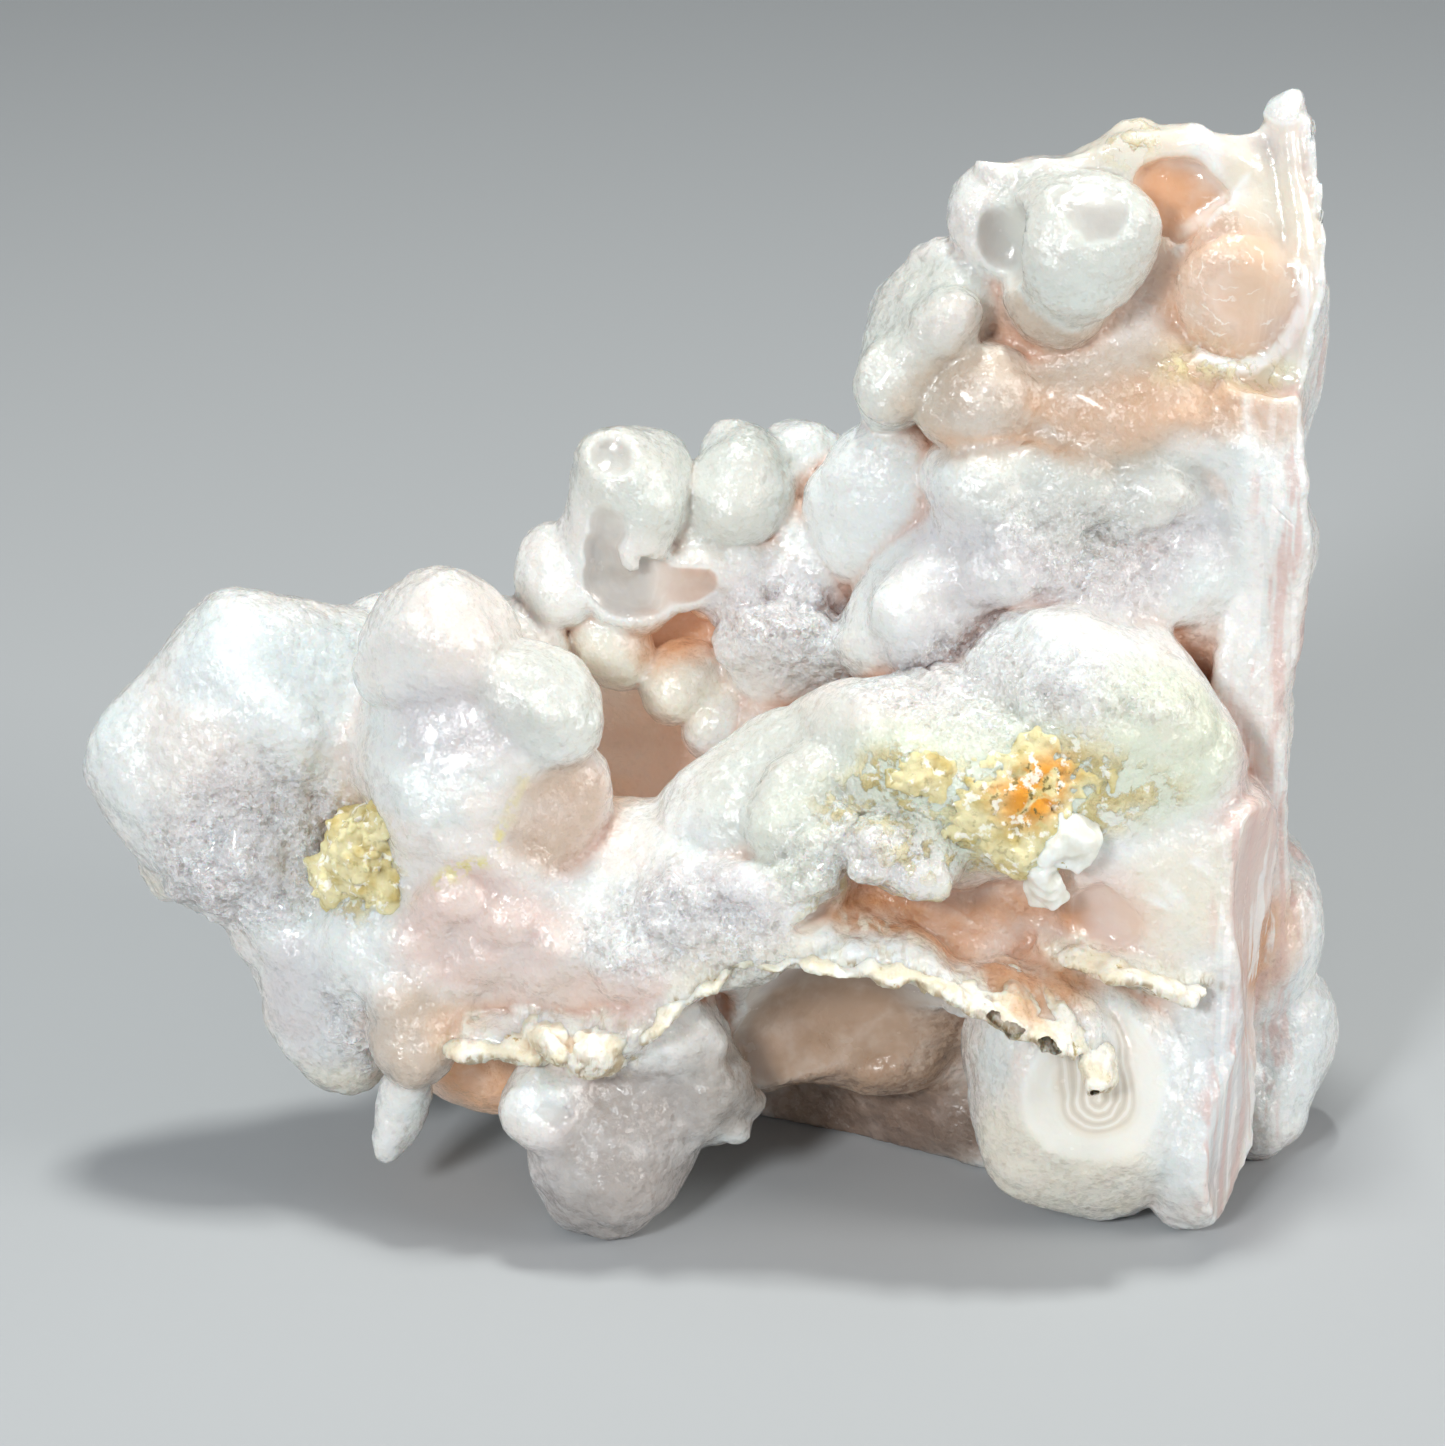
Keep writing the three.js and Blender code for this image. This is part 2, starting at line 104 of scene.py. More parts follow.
# The globes and lobes that grew on it
LOBES = {
    "wing face": ball((-28.4, -1, 24), (6.5, 4.5, 6.5)),
    "wing plate": ball((-25.6, -1, 25), (7, 3.8, 7.6), (0, 28, 0)),
    "wing top": ball((-25.2, 0.5, 28.6), (5.6, 4.2, 5), (0, 30, 0)),
    "wing beak": ball((-21.4, 2, 29.3), (2.4, 2.5, 1.9)),
    "wing low": ball((-27.1, -2, 19.6), (4.9, 4, 4.4)),
    "wing heel": ball((-24, -2, 15.4), (4.1, 4, 4.4)),
    "wing hem": ball((-21.4, -4, 10.8), (3.9, 3.6, 5.2), (0, -12, 0)),
    "wing nub": ball((-31.1, -1, 17.4), (1.5, 1.4, 1.5)),
    "crown left": ball((-15, -4.5, 32), (4.5, 4.2, 4.4)),
    "crown right": ball((-10.4, -5.5, 29.3), (4, 4, 4)),
    "crown low": ball((-9.8, -5.5, 24), (3.5, 3.8, 4.2)),
    "fang root top": ball((-17.6, -8, 14.4), (2.3, 2.6, 2.3)),
    "fang root": ball((-17.3, -9, 11.4), (2.4, 2.5, 2.8)),
    "fang": ball((-18.1, -9, 6.9), (1.5, 1.4, 3.1), (0, 12, 0)),
    "peach knob": ball((-13.7, -3, 6.6), (3.7, 3.4, 3)),
    "foot knob": ball((-9.4, -11.3, 8.1), (2.8, 2.8, 2.8)),
    "middle foot": ball((-6, -9.5, 5.2), (4.7, 4.6, 5.5)),
    "middle foot right": ball((-1.8, -8, 7.6), (3.3, 4, 3.6)),
    "foot neck": ball((-4.5, -8, 11), (4.6, 4.4, 4.4)),
    "right foot": ball((19.9, -9, 8.2), (6.6, 5.6, 8.2), (0, -16, 0)),
    "right heel": ball((26.6, -10, 6), (3.4, 3.5, 6.2)),
    "right side": ball((26, -8, 11), (3.2, 4, 6)),
    "rear left foot": ball((-5, 7, 5), (5, 4.5, 5.2)),
    "shelf": ball((13.6, -6, 25.6), (10.6, 6.4, 6)),
    "shelf dome": ball((19.6, -5.5, 27.2), (7.4, 6.6, 7.6)),
    "shelf left": ball((4, -9, 25), (2.9, 3, 3)),
    "shelf left low": ball((5.2, -10, 22.8), (2.4, 2.8, 2.2)),
    "shelf front": ball((10.4, -10.4, 23), (3.6, 3.2, 2.6)),
    "shelf crest": ball((2, -5.5, 23.2), (6.6, 4.6, 4.4), (0, -30, 0)),
    "shelf right": ball((24.4, -5, 24.6), (3.8, 5.6, 6.6)),
    "saddle left": ball((11.6, -0.5, 33.6), (4.4, 4.2, 4.4)),
    "saddle corner": ball((9, 0, 32), (2.8, 3, 3.4)),
    "saddle fold": ball((17, 0.4, 40.2), (6, 3.6, 3)),
    "saddle middle": ball((18.4, 0.6, 35.6), (5.6, 4.5, 4)),
    "saddle right": ball((25, 0.5, 36), (4.6, 3.8, 5.6)),
    "broken globe": ball((-4.7, 3, 39), (3.4, 3.4, 3.6)),
    "row shoulder": ball((-9.2, 2.5, 33.4), (2.3, 2.6, 2.8)),
    "row low": ball((-5.7, 2.5, 34.3), (3.6, 3.4, 3.5)),
    "row neck": ball((-1.8, 4.5, 35.4), (2.8, 3, 3)),
    "facet lobe": ball((-2.4, 3, 34.2), (3, 3, 2.2)),
    "globe a": ball((1.2, 4.5, 38), (3.3, 3.4, 3.2)),
    "globe a bump": ball((0, 5.4, 39.8), (1.5, 1.5, 1.5)),
    "globe b": ball((4.1, 6.6, 38.9), (2.6, 2.8, 2.8)),
    "globe c": ball((8.8, 3, 38.2), (3.8, 3.8, 5.1), (0, 12, 0)),
    "globe d": ball((0.3, 4, 33.2), (2.8, 3.2, 2.9)),
    "globe d right": ball((3.6, 4.4, 32.8), (3.2, 3.2, 3)),
    "row backing": ball((5.6, 4.6, 34.6), (3, 3, 3.6)),
    "globe e": ball((3.2, 3, 28.9), (3.8, 3.6, 3.7)),
    "globe e right": ball((6, 3, 29.4), (2.6, 3, 3)),
    "globe f": ball((-0.4, 2.8, 25.5), (2, 2.4, 2.4)),
    "globe g": ball((3, 3, 25), (3.2, 3, 3)),
    "pocket knob": ball((-2.8, 2.8, 27.8), (2.3, 2.3, 2.2)),
    "cream lobe": ball((-6.6, 3, 29.7), (2.4, 2.4, 2.6)),
    "tower left": ball((10.6, 3, 46.8), (3.4, 4, 4.4), (0, 25, 0)),
    "tower shoulder": ball((12.6, 4, 49.4), (2.8, 3.2, 2.8)),
    "tower heel": ball((9.6, 4, 43.4), (2, 2.2, 2.1)),
    "tower chin": ball((14.4, 0.5, 44.6), (3.6, 3.4, 3)),
    "tower corner": ball((14.8, 3, 53.4), (2.5, 2.6, 3.2)),
    "tower globe": ball((18.8, -0.4, 53.8), (4, 3.9, 4)),
    "under the globe": ball((17.4, 0.2, 51.2), (3.2, 2.9, 2.9)),
    "tower disc": ball((27.6, 0.7, 50.3), (3.7, 1.8, 3.8)),
    "tower ledge": ball((26.4, 0.4, 46.4), (4.2, 2, 1), (0, -6, 0)),
    "tip": ball((30.2, 2.4, 59.4), (1.1, 1.1, 1.7), (0, 10, 0)),
    "rim bump": ball((22, 2.6, 58.2), (2.2, 1.5, 0.9), (0, -6, 0)),
    "rim left": ball((17.6, 2.6, 57.2), (2.2, 1.3, 0.7), (0, -8, 0)),
    "rim right": ball((26.2, 2.4, 58.2), (2.8, 1.5, 0.9), (0, 2, 0)),
    "back globe a": ball((18, 12.4, 42), (7.2, 4.2, 6.4)),
    "back globe b": ball((25, 11.5, 47), (5.4, 4, 5.4)),
    "back globe c": ball((23, 13, 33), (6.6, 4.2, 6)),
    "back globe d": ball((11, 14, 30), (7, 4.6, 6.4)),
    "back globe e": ball((20, 15, 23), (7.4, 4.2, 6.2)),
    "back globe f": ball((4, 14, 21), (6.8, 4.8, 6.2)),
    "back globe g": ball((13, 16, 14), (7.2, 4.2, 6.2)),
    "back globe h": ball((-3.5, 12.5, 28), (6, 4.6, 6)),
    "back globe i": ball((-7, 11, 18), (6, 4.8, 6)),
    "back globe j": ball((-15.5, 5, 19.5), (5.6, 4.4, 5.8)),
    "back globe k": ball((-18, 4, 27), (4.6, 3.8, 4.6)),
    "back globe l": ball((24, 14, 9), (6, 4.6, 6.4)),
    "back globe m": ball((5, 13, 9), (6, 4.6, 6.2)),
    "back globe n": ball((14.5, 11.5, 48), (3.8, 3.4, 3.8)),
    "crown back": ball((-12.5, 2, 29), (3.6, 3.4, 3.8)),
}
# The ragged lip over the cave
LIP = {
    "lip a": ball((-13.6, -9.4, 11.4), (2.5, 3, 0.8), (0, 8, 0)),
    "lip b": ball((-11, -10.4, 11.5), (2.5, 3, 0.9), (0, -10, 20)),
    "lip c": ball((-8.8, -11.4, 12.2), (2.4, 3, 1.3), (0, 12, 0)),
    "lip d": ball((-6.8, -11.8, 12.2), (2.4, 3, 1.8), (0, -20, -15)),
    "lip e": ball((-3.8, -11.2, 14), (2.7, 3, 0.8), (0, -42, 0)),
    "lip f": ball((-1.2, -11.2, 16.2), (2.8, 3, 0.6), (0, -36, 10)),
    "lip g": ball((2, -11.4, 17.6), (3, 3, 0.6), (0, -16, 0)),
    "lip h": ball((5.4, -11.7, 18), (2.8, 3, 0.6), (0, 2, -8)),
    "lip i": ball((8.6, -12.1, 17.7), (2.8, 3, 0.8), (0, 8, 8)),
    "lip j": ball((12, -12.6, 16.6), (3, 3, 0.9), (0, 20, 0)),
    "lip k": ball((15.2, -13.1, 15.4), (2.8, 2.8, 0.8), (0, 22, -10)),
    "lip l": ball((18, -13.4, 14.1), (2.7, 2.8, 0.8), (0, 36, 0)),
    "lip m": ball((19.9, -13.4, 12.2), (2.2, 2.4, 0.7), (0, 58, 0)),
    "second lip": ball((21.8, -11.6, 16.2), (4.2, 2.2, 0.8), (0, 4, 0)),
}
# White splinters at the crust's lower right
FLAKES = {
    "white chip": slab((18.7, -12.4, 24), (1.4, 0.9, 1.2), (24, 32, 20)),
    "white splinter": slab((17.4, -12.2, 21.8), (0.7, 0.8, 1.6), (0, -20, 40)),
}
# What broke out of the lobes
CHIPS = {
    "right foot face": slab((20, -19.4, 8), (10, 5.5, 12), (-12, 0, 4)),
    "right face": slab((34.4, -8, 18), (5, 9, 30), (0, 0, -22)),
    "corner hollow": ball((14.2, -0.8, 53.3), (2.1, 2.2, 3), (0, 16, 0)),
    "disc face": ball((26.9, -5.3, 51.2), (6, 4.7, 5.6)),
    "globe window": ball((-6.3, -0.8, 42.7), (2.7, 2.6, 2.4)),
    "scoop top": ball((-6.6, -1.6, 37.8), (1.5, 1.6, 1.8)),
    "scoop middle": ball((-7, -1.6, 35.6), (1.4, 1.6, 1.7)),
    "scoop low": ball((-6.6, -2.4, 33.2), (3.4, 2.8, 2.8), (0, 12, 0)),
    "row facet": slab((-2.4, -1.6, 34), (2.6, 2.2, 1.8), (0, 10, 8)),
}
# Lobes and bands on the broken right side
LATE = {
    "rear sole right": ball((30.4, 0.8, 5.4), (4.8, 5.4, 5.6)),
    "rear right": ball((30.2, 1, 12), (3.3, 5, 7.2), (0, 8, 0)),
    "rear right up": ball((29.6, 3, 35.5), (3.4, 3.5, 4.6)),
    "side upper": ball((30.6, 3, 45.5), (1.7, 3.4, 8)),
    "side front band": ball((30.4, -1.2, 36.5), (1, 1.4, 24), (-6, 0, 0)),
    "side rear band": ball((30.6, 6.4, 26), (1.3, 2.4, 17)),
}
# Host rock on the shelf, and the crumb beside the wing
ROCK_CRUST = {
    "crust middle": ball((15.2, -10.5, 26.4), (5.2, 2.1, 3), (-18, 0, 0)),
    "crust left": ball((11, -10.9, 27.2), (2.2, 1.6, 1.7)),
    "crust right": ball((20, -10.5, 27), (2.2, 1.4, 1.2)),
    "crust low": ball((17, -11.4, 24.2), (2.2, 1.8, 1.8)),
    "crust top": ball((16.6, -10.1, 28.4), (2.2, 1.6, 1.2)),
}
ROCK_CRUMB = {
    "crumb middle": ball((-19.4, -6.2, 21.2), (2.7, 2.7, 2.6)),
    "crumb spike": ball((-18.6, -6.8, 23.2), (1.3, 1.6, 1.6)),
    "crumb left": ball((-21.4, -5.6, 19.6), (1.6, 1.7, 1.4)),
    "crumb right": ball((-17.8, -7.6, 19.8), (1.6, 1.7, 1.6)),
}

RANDOM = np.random.default_rng(7).random((4, 64, 64, 64), np.float32)


def turning(angles):
    """Rotation matrix of turns about x, then y, then z, in degrees."""
    a, b, c = (math.radians(t) for t in angles)
    rx = np.array([[1, 0, 0], [0, math.cos(a), -math.sin(a)], [0, math.sin(a), math.cos(a)]])
    ry = np.array([[math.cos(b), 0, math.sin(b)], [0, 1, 0], [-math.sin(b), 0, math.cos(b)]])
    rz = np.array([[math.cos(c), -math.sin(c), 0], [math.sin(c), math.cos(c), 0], [0, 0, 1]])
    return (rz @ ry @ rx).astype(np.float32)


def smooth(low, high, value):
    """0 below low, 1 above high, and a smooth cubic between; high may be the smaller."""
    t = np.clip((value - low) / (high - low), 0, 1)
    return t * t * (3 - 2 * t)


def noise(p, size, seed=0):
    """Value noise, -1 to 1: random numbers on a lattice of that size, blended with a smooth cubic."""
    corners, weights = [], []
    for k in range(3):
        u = p[k] / size + 11.3 * (k + 1) + 5.7 * seed
        i = np.floor(u)
        w = (u - i).astype(np.float32)
        weights.append(w * w * (3 - 2 * w))
        i = i.astype(np.int32)
        corners.append((i & 63, (i + 1) & 63))
    total = 0.0
    for i in (0, 1):
        wx = weights[0] if i else 1 - weights[0]
        for j in (0, 1):
            wxy = wx * (weights[1] if j else 1 - weights[1])
            for k in (0, 1):
                w = wxy * (weights[2] if k else 1 - weights[2])
                total = total + w * RANDOM[3][corners[0][i], corners[1][j], corners[2][k]]
    return 2 * total - 1


def rough_noise(p, size, octaves, seed=0):
    """Noise at several sizes, each half as large and half as strong as the one before, about -1 to 1."""
    total, strength, whole = 0.0, 1.0, 0.0
    for n in range(octaves):
        total = total + strength * noise(p, size / 2**n, seed + n)
        whole += strength
        strength *= 0.5
    return total / whole


def domes(p, size, seed=0):
    """Small merged domes, 0 to 1: one centre to a lattice cell, height falling with squared distance."""
    q = [p[k] / size + 7.1 * (k + 1) + 3.3 * seed for k in range(3)]
    cell = [np.floor(t).astype(np.int32) for t in q]
    nearest = np.full(p[0].shape, 9.0, np.float32)
    for i in (-1, 0, 1):
        for j in (-1, 0, 1):
            for k in (-1, 0, 1):
                c = (cell[0] + i, cell[1] + j, cell[2] + k)
                at = (c[0] & 63, c[1] & 63, c[2] & 63)
                away = sum((c[n] + RANDOM[n][at] - q[n]) ** 2 for n in range(3))
                nearest = np.minimum(nearest, away)
    return np.maximum(0, 1 - nearest / 0.8)


def sway(p):
    """The slow sway of the lobes' outlines: three sines, one for each axis."""
    x, y, z = p
    return (
        x + SWAY * np.sin(0.55 * y + 0.31 * z + 1),
        y + SWAY * np.sin(0.50 * z + 0.37 * x + 2),
        z + SWAY * np.sin(0.60 * x + 0.29 * y + 3),
    )


def local(p, centre, angles):
    """The points in a form's own turned frame."""
    m = turning(angles)
    d = [p[k] - centre[k] for k in range(3)]
    return [m[0, i] * d[0] + m[1, i] * d[1] + m[2, i] * d[2] for i in range(3)]


def distance(form, p):
    """Signed distance to a form: near-exact k0 (k0 - 1) / k1 for a ball, exact for a slab."""
    kind, centre, half, angles = form
    q = local(sway(p), centre, angles)
    if kind == "ball":
        u = [q[i] / half[i] for i in range(3)]
        k0 = np.sqrt(u[0] ** 2 + u[1] ** 2 + u[2] ** 2) + 1e-6
        k1 = np.sqrt(sum((u[i] / half[i]) ** 2 for i in range(3))) + 1e-6
        return k0 * (k0 - 1.0) / k1
    r = min(EDGE_ROUND, EDGE_SHARE * min(half))
    e = [np.abs(q[i]) - (half[i] - r) for i in range(3)]
    outside = np.sqrt(sum(np.maximum(t, 0) ** 2 for t in e))
    return outside + np.minimum(np.maximum(np.maximum(e[0], e[1]), e[2]), 0) - r


def join(a, b, k):
    """Smooth union of two distances, with a fillet of size k."""
    h = np.maximum(k - np.abs(a - b), 0) / k
    return np.minimum(a, b) - h * h * k * 0.25


class Field:
    """Signed distances on a regular grid; each form touches only the block of cells round it."""

    def __init__(self, low, high, step):
        self.low = np.array(low, np.float32)
        self.step = step
        self.shape = tuple(int(math.ceil((h - l) / step)) + 1 for l, h in zip(low, high))
        self.axes = [np.float32(l + step * np.arange(n)) for l, n in zip(low, self.shape)]
        self.d = np.full(self.shape, FAR, np.float32)  # the surface as it is
        self.skin = self.d.copy()  # the surface as it grew, before anything broke

    def block(self, form, margin):
        reach = max(form[2]) * (1.0 if form[0] == "ball" else 1.5) + margin
        part = []
        for c, axis in zip(form[1], self.axes):
            first = max(0, int((c - reach - axis[0]) / self.step))
            last = min(len(axis), int((c + reach - axis[0]) / self.step) + 2)
            part.append(slice(first, last))
        return tuple(part)

    def points(self, part=(slice(None),) * 3):
        return np.meshgrid(*(self.axes[k][part[k]] for k in range(3)), indexing="ij")

    def near(self, forms, margin):
        """For each form, the block of cells round it, their points and their distances to it."""
        for form in forms.values():
            part = self.block(form, margin)
            p = self.points(part)
            yield part, p, distance(form, p)

    def add(self, forms, fillet, ragged=0.0, grain=1.6):
        """Joins the forms on, each with noise of the ragged height on its surface."""
        for part, p, d in self.near(forms, FAR):
            if ragged:
                d = d + ragged * rough_noise(p, grain, 2, 4)
            self.d[part] = join(self.d[part], d, fillet)
            self.skin[part] = join(self.skin[part], d, fillet)

    def cut(self, forms, rough, grain=3.0, wear=0.0):
        """Breaks the forms out of the surface, with noise of that height on the break and worn rims."""
        for part, p, d in self.near(forms, 1.0):
            d = d + rough * rough_noise(p, grain, 3, 1)
            self.d[part] = -join(-self.d[part], d, wear) if wear else np.maximum(self.d[part], -d)

    def flake(self, forms, thickness):
        """Spalls the grown skin off inside the forms, down to that depth, with a jagged outline."""
        for part, p, d in self.near(forms, 1.0):
            outline = d + 0.55 * rough_noise(p, 1.1, 2, 6)
            shallow = -self.skin[part] - thickness
            self.d[part] = np.maximum(self.d[part], -np.maximum(outline, shallow))

    def floor(self, height):
        """Wears everything flat at that height."""
        self.d = np.maximum(self.d, height - self.axes[2][None, None, :])

    def sample(self, values, points):
        """The grid's values at points, blended between the eight cells round each."""
        g = (points - self.low) / self.step
        i = np.clip(np.floor(g).astype(np.int32), 0, np.array(self.shape) - 2)
        w = (g - i).astype(np.float32)
        total = np.zeros(len(points), np.float32)
        for a in (0, 1):
            for b in (0, 1):
                for c in (0, 1):
                    share = (w[:, 0] if a else 1 - w[:, 0]) * (w[:, 1] if b else 1 - w[:, 1])
                    share = share * (w[:, 2] if c else 1 - w[:, 2])
                    total += share * values[i[:, 0] + a, i[:, 1] + b, i[:, 2] + c]
        return total

    def fullness(self, reach):
        """Share of solid within that reach of each cell: half on a flat surface, more in a hollow."""
        n = max(1, int(round(reach / self.step)))
        share = (self.d < 0).astype(np.float32)
        for _ in range(2):
            for axis in range(3):
                pad = [(n + 1, n) if k == axis else (0, 0) for k in range(3)]
                run = np.cumsum(np.pad(share, pad, mode="edge"), axis=axis, dtype=np.float64)
                size = share.shape[axis]
                high = np.take(run, np.arange(2 * n + 1, 2 * n + 1 + size), axis=axis)
                low = np.take(run, np.arange(0, size), axis=axis)
                share = ((high - low) / (2 * n + 1)).astype(np.float32)
        return share


def surface_nets(field):
    """A closed surface of quads where d changes sign: one point in each crossed cell, at the mean of its
    edges' crossings, and one quad round each crossed edge of the grid."""
    d = field.d
    inside = d < 0
    nx, ny, nz = (n - 1 for n in d.shape)
    corners = [(i, j, k) for i in (0, 1) for j in (0, 1) for k in (0, 1)]
    count = np.zeros((nx, ny, nz), np.int8)
    for i, j, k in corners:
        count += inside[i : i + nx, j : j + ny, k : k + nz]
    crossed = (count > 0) & (count < 8)
    index = np.full((nx, ny, nz), -1, np.int32)
    at = np.argwhere(crossed)
    index[crossed] = np.arange(len(at))
    value = {c: d[at[:, 0] + c[0], at[:, 1] + c[1], at[:, 2] + c[2]] for c in corners}
    total = np.zeros((len(at), 3), np.float32)
    number = np.zeros(len(at), np.float32)
    for a in corners:
        for axis in range(3):
            if a[axis]:
                continue
            b = tuple(1 if k == axis else a[k] for k in range(3))
            cross = (value[a] < 0) != (value[b] < 0)
            t = value[a][cross] / (value[a][cross] - value[b][cross])
            p = np.tile(np.array(a, np.float32), (len(t), 1))
            p[:, axis] += t
            total[cross] += p
            number[cross] += 1
    points = (at + total / number[:, None]) * field.step + field.low
    return points.astype(np.float32), surface_quads(inside, index)


def surface_quads(inside, index):
    """For each grid edge with one end inside, the four cells round it, ordered to face outwards."""
    quads = []
    for axis in range(3):
        u, v = (k for k in range(3) if k != axis)
        near = [slice(1, -1)] * 3
        near[axis] = slice(0, -1)
        far = list(near)
        far[axis] = slice(1, None)
        first, second = inside[tuple(near)], inside[tuple(far)]
        edge = np.argwhere(first != second)
        outward = first[tuple(edge.T)]
        edge[:, u] += 1
        edge[:, v] += 1
        ring = []
        for du, dv in ((1, 1), (0, 1), (0, 0), (1, 0)):
            cell = edge.copy()
            cell[:, u] -= du
            cell[:, v] -= dv
            ring.append(index[tuple(cell.T)])
        ring = np.stack(ring, 1)
        if axis == 1:
            outward = ~outward
        quads.append(np.where(outward[:, None], ring, ring[:, ::-1]))
    return np.concatenate(quads).astype(np.int32)


# Places where the outer shell of a globe has spalled off and the grey inside shows
SPALLS = {
    "tower globe's top": ball((19, -3.0, 56.4), (2.1, 2.2, 1.6), (0, 12, 0)),
    "foot knob's dent": ball((-9, -13.6, 8.6), (0.9, 1.2, 0.8)),
}
# Beads too small to be lobes of their own, half sunk in the skin
BEADS = {
    "belly a": ball((-14.2, -9.2, 19), (1.9, 1.4, 1.7)),
    "belly b": ball((-11.6, -9.4, 18), (1.6, 1.4, 1.5)),
    "belly c": ball((-13.4, -9.7, 16), (1.6, 1.3, 1.3)),
    "belly d": ball((-16.8, -8.8, 17.2), (1.5, 1.3, 1.6)),
    "belly e": ball((-9.4, -9.5, 16), (1.7, 1.3, 1.2)),
    "belly f": ball((-10.8, -8.6, 21), (1.9, 1.5, 2.2)),
    "belly g": ball((-13.8, -8.4, 22.6), (1.8, 1.4, 1.9)),
    "belly h": ball((-15.8, -8, 26), (2.2, 1.4, 2.2)),
    "belly i": ball((-12.2, -8.4, 27), (1.9, 1.4, 1.6)),
    "crown bubble": ball((-9.8, -9.2, 30.6), (0.9, 0.6, 0.9)),
    "fang side": ball((-15.4, -9, 13.2), (1.3, 1.2, 1.5)),
    "shelf beads a": ball((5.8, -11.9, 24.2), (1.6, 1.4, 1.5)),
    "shelf beads b": ball((8.6, -12.7, 23.4), (1.7, 1.4, 1.5)),
    "shelf beads c": ball((10.8, -13.2, 22.2), (1.5, 1.2, 1.3)),
}
# Dents in the skin, too shallow for the solids
DENTS = {
    "broken globe's window": ball((-6.2, -1.2, 42.4), (2.6, 3.2, 2.4)),
}
# The disc's white crescent: what lies in the first form and outside the second
CRESCENT = (ball((27.2, -1, 50.5), (3.9, 2.6, 3.9)), ball((26.7, -1, 51), (3.75, 9, 3.75)))
# Where the skin bubbles most
BUBBLY = ball((-13, -9, 18.6), (6, 4, 6.6))
# The lobe below the tower's globe stands further back than in the solids, so that the globe shows
SET_BACK = {"under the globe": ball((17.6, 1.0, 50.6), (3.0, 2.8, 2.6))}
# Low swellings that run into one another
SWELLS = {
    "scoops' column": ball((-5.8, 1.2, 36.4), (2.4, 2.2, 2.6)),
    "saddle bridge": ball((15.6, -1.2, 38), (4.4, 2.7, 2.6)),
    "saddle a": ball((14, -1.8, 40.4), (2.4, 1.9, 1.9)),
    "saddle b": ball((18.4, -2.6, 41), (2.4, 1.6, 1.8)),
    "saddle c": ball((22.4, -2.4, 39.6), (2.4, 1.8, 2)),
    "saddle d": ball((15, -3.4, 35.8), (2.4, 1.6, 2)),
    "saddle e": ball((20.4, -3.2, 35), (2.6, 1.6, 2)),
    "saddle f": ball((24.6, -2.6, 35), (2.2, 1.6, 2)),
    "saddle g": ball((10, -3.6, 34.8), (2, 1.6, 1.8)),
    "tower a": ball((9.4, -0.2, 46.4), (2, 1.5, 2)),
    "tower b": ball((11.8, -0.6, 49), (1.9, 1.4, 1.8)),
    "row a": ball((1.6, 0.6, 30.4), (2.6, 1.4, 1.8)),
    "row b": ball((4.8, 0.6, 30.4), (2, 1.3, 1.8)),
    "apron a": ball((-1.6, -12, 19.6), (2.2, 1.4, 1.6), (0, -30, 0)),
    "apron b": ball((2.4, -11.6, 21.4), (2.2, 1.4, 1.4), (0, -20, 0)),
    "apron c": ball((-5.4, -11.4, 17.4), (2, 1.4, 1.6)),
    "wing a": ball((-28, -4.6, 26), (2.6, 1.6, 2.6)),
    "wing b": ball((-24.4, -4.2, 27.6), (2.4, 1.4, 2.2)),
}

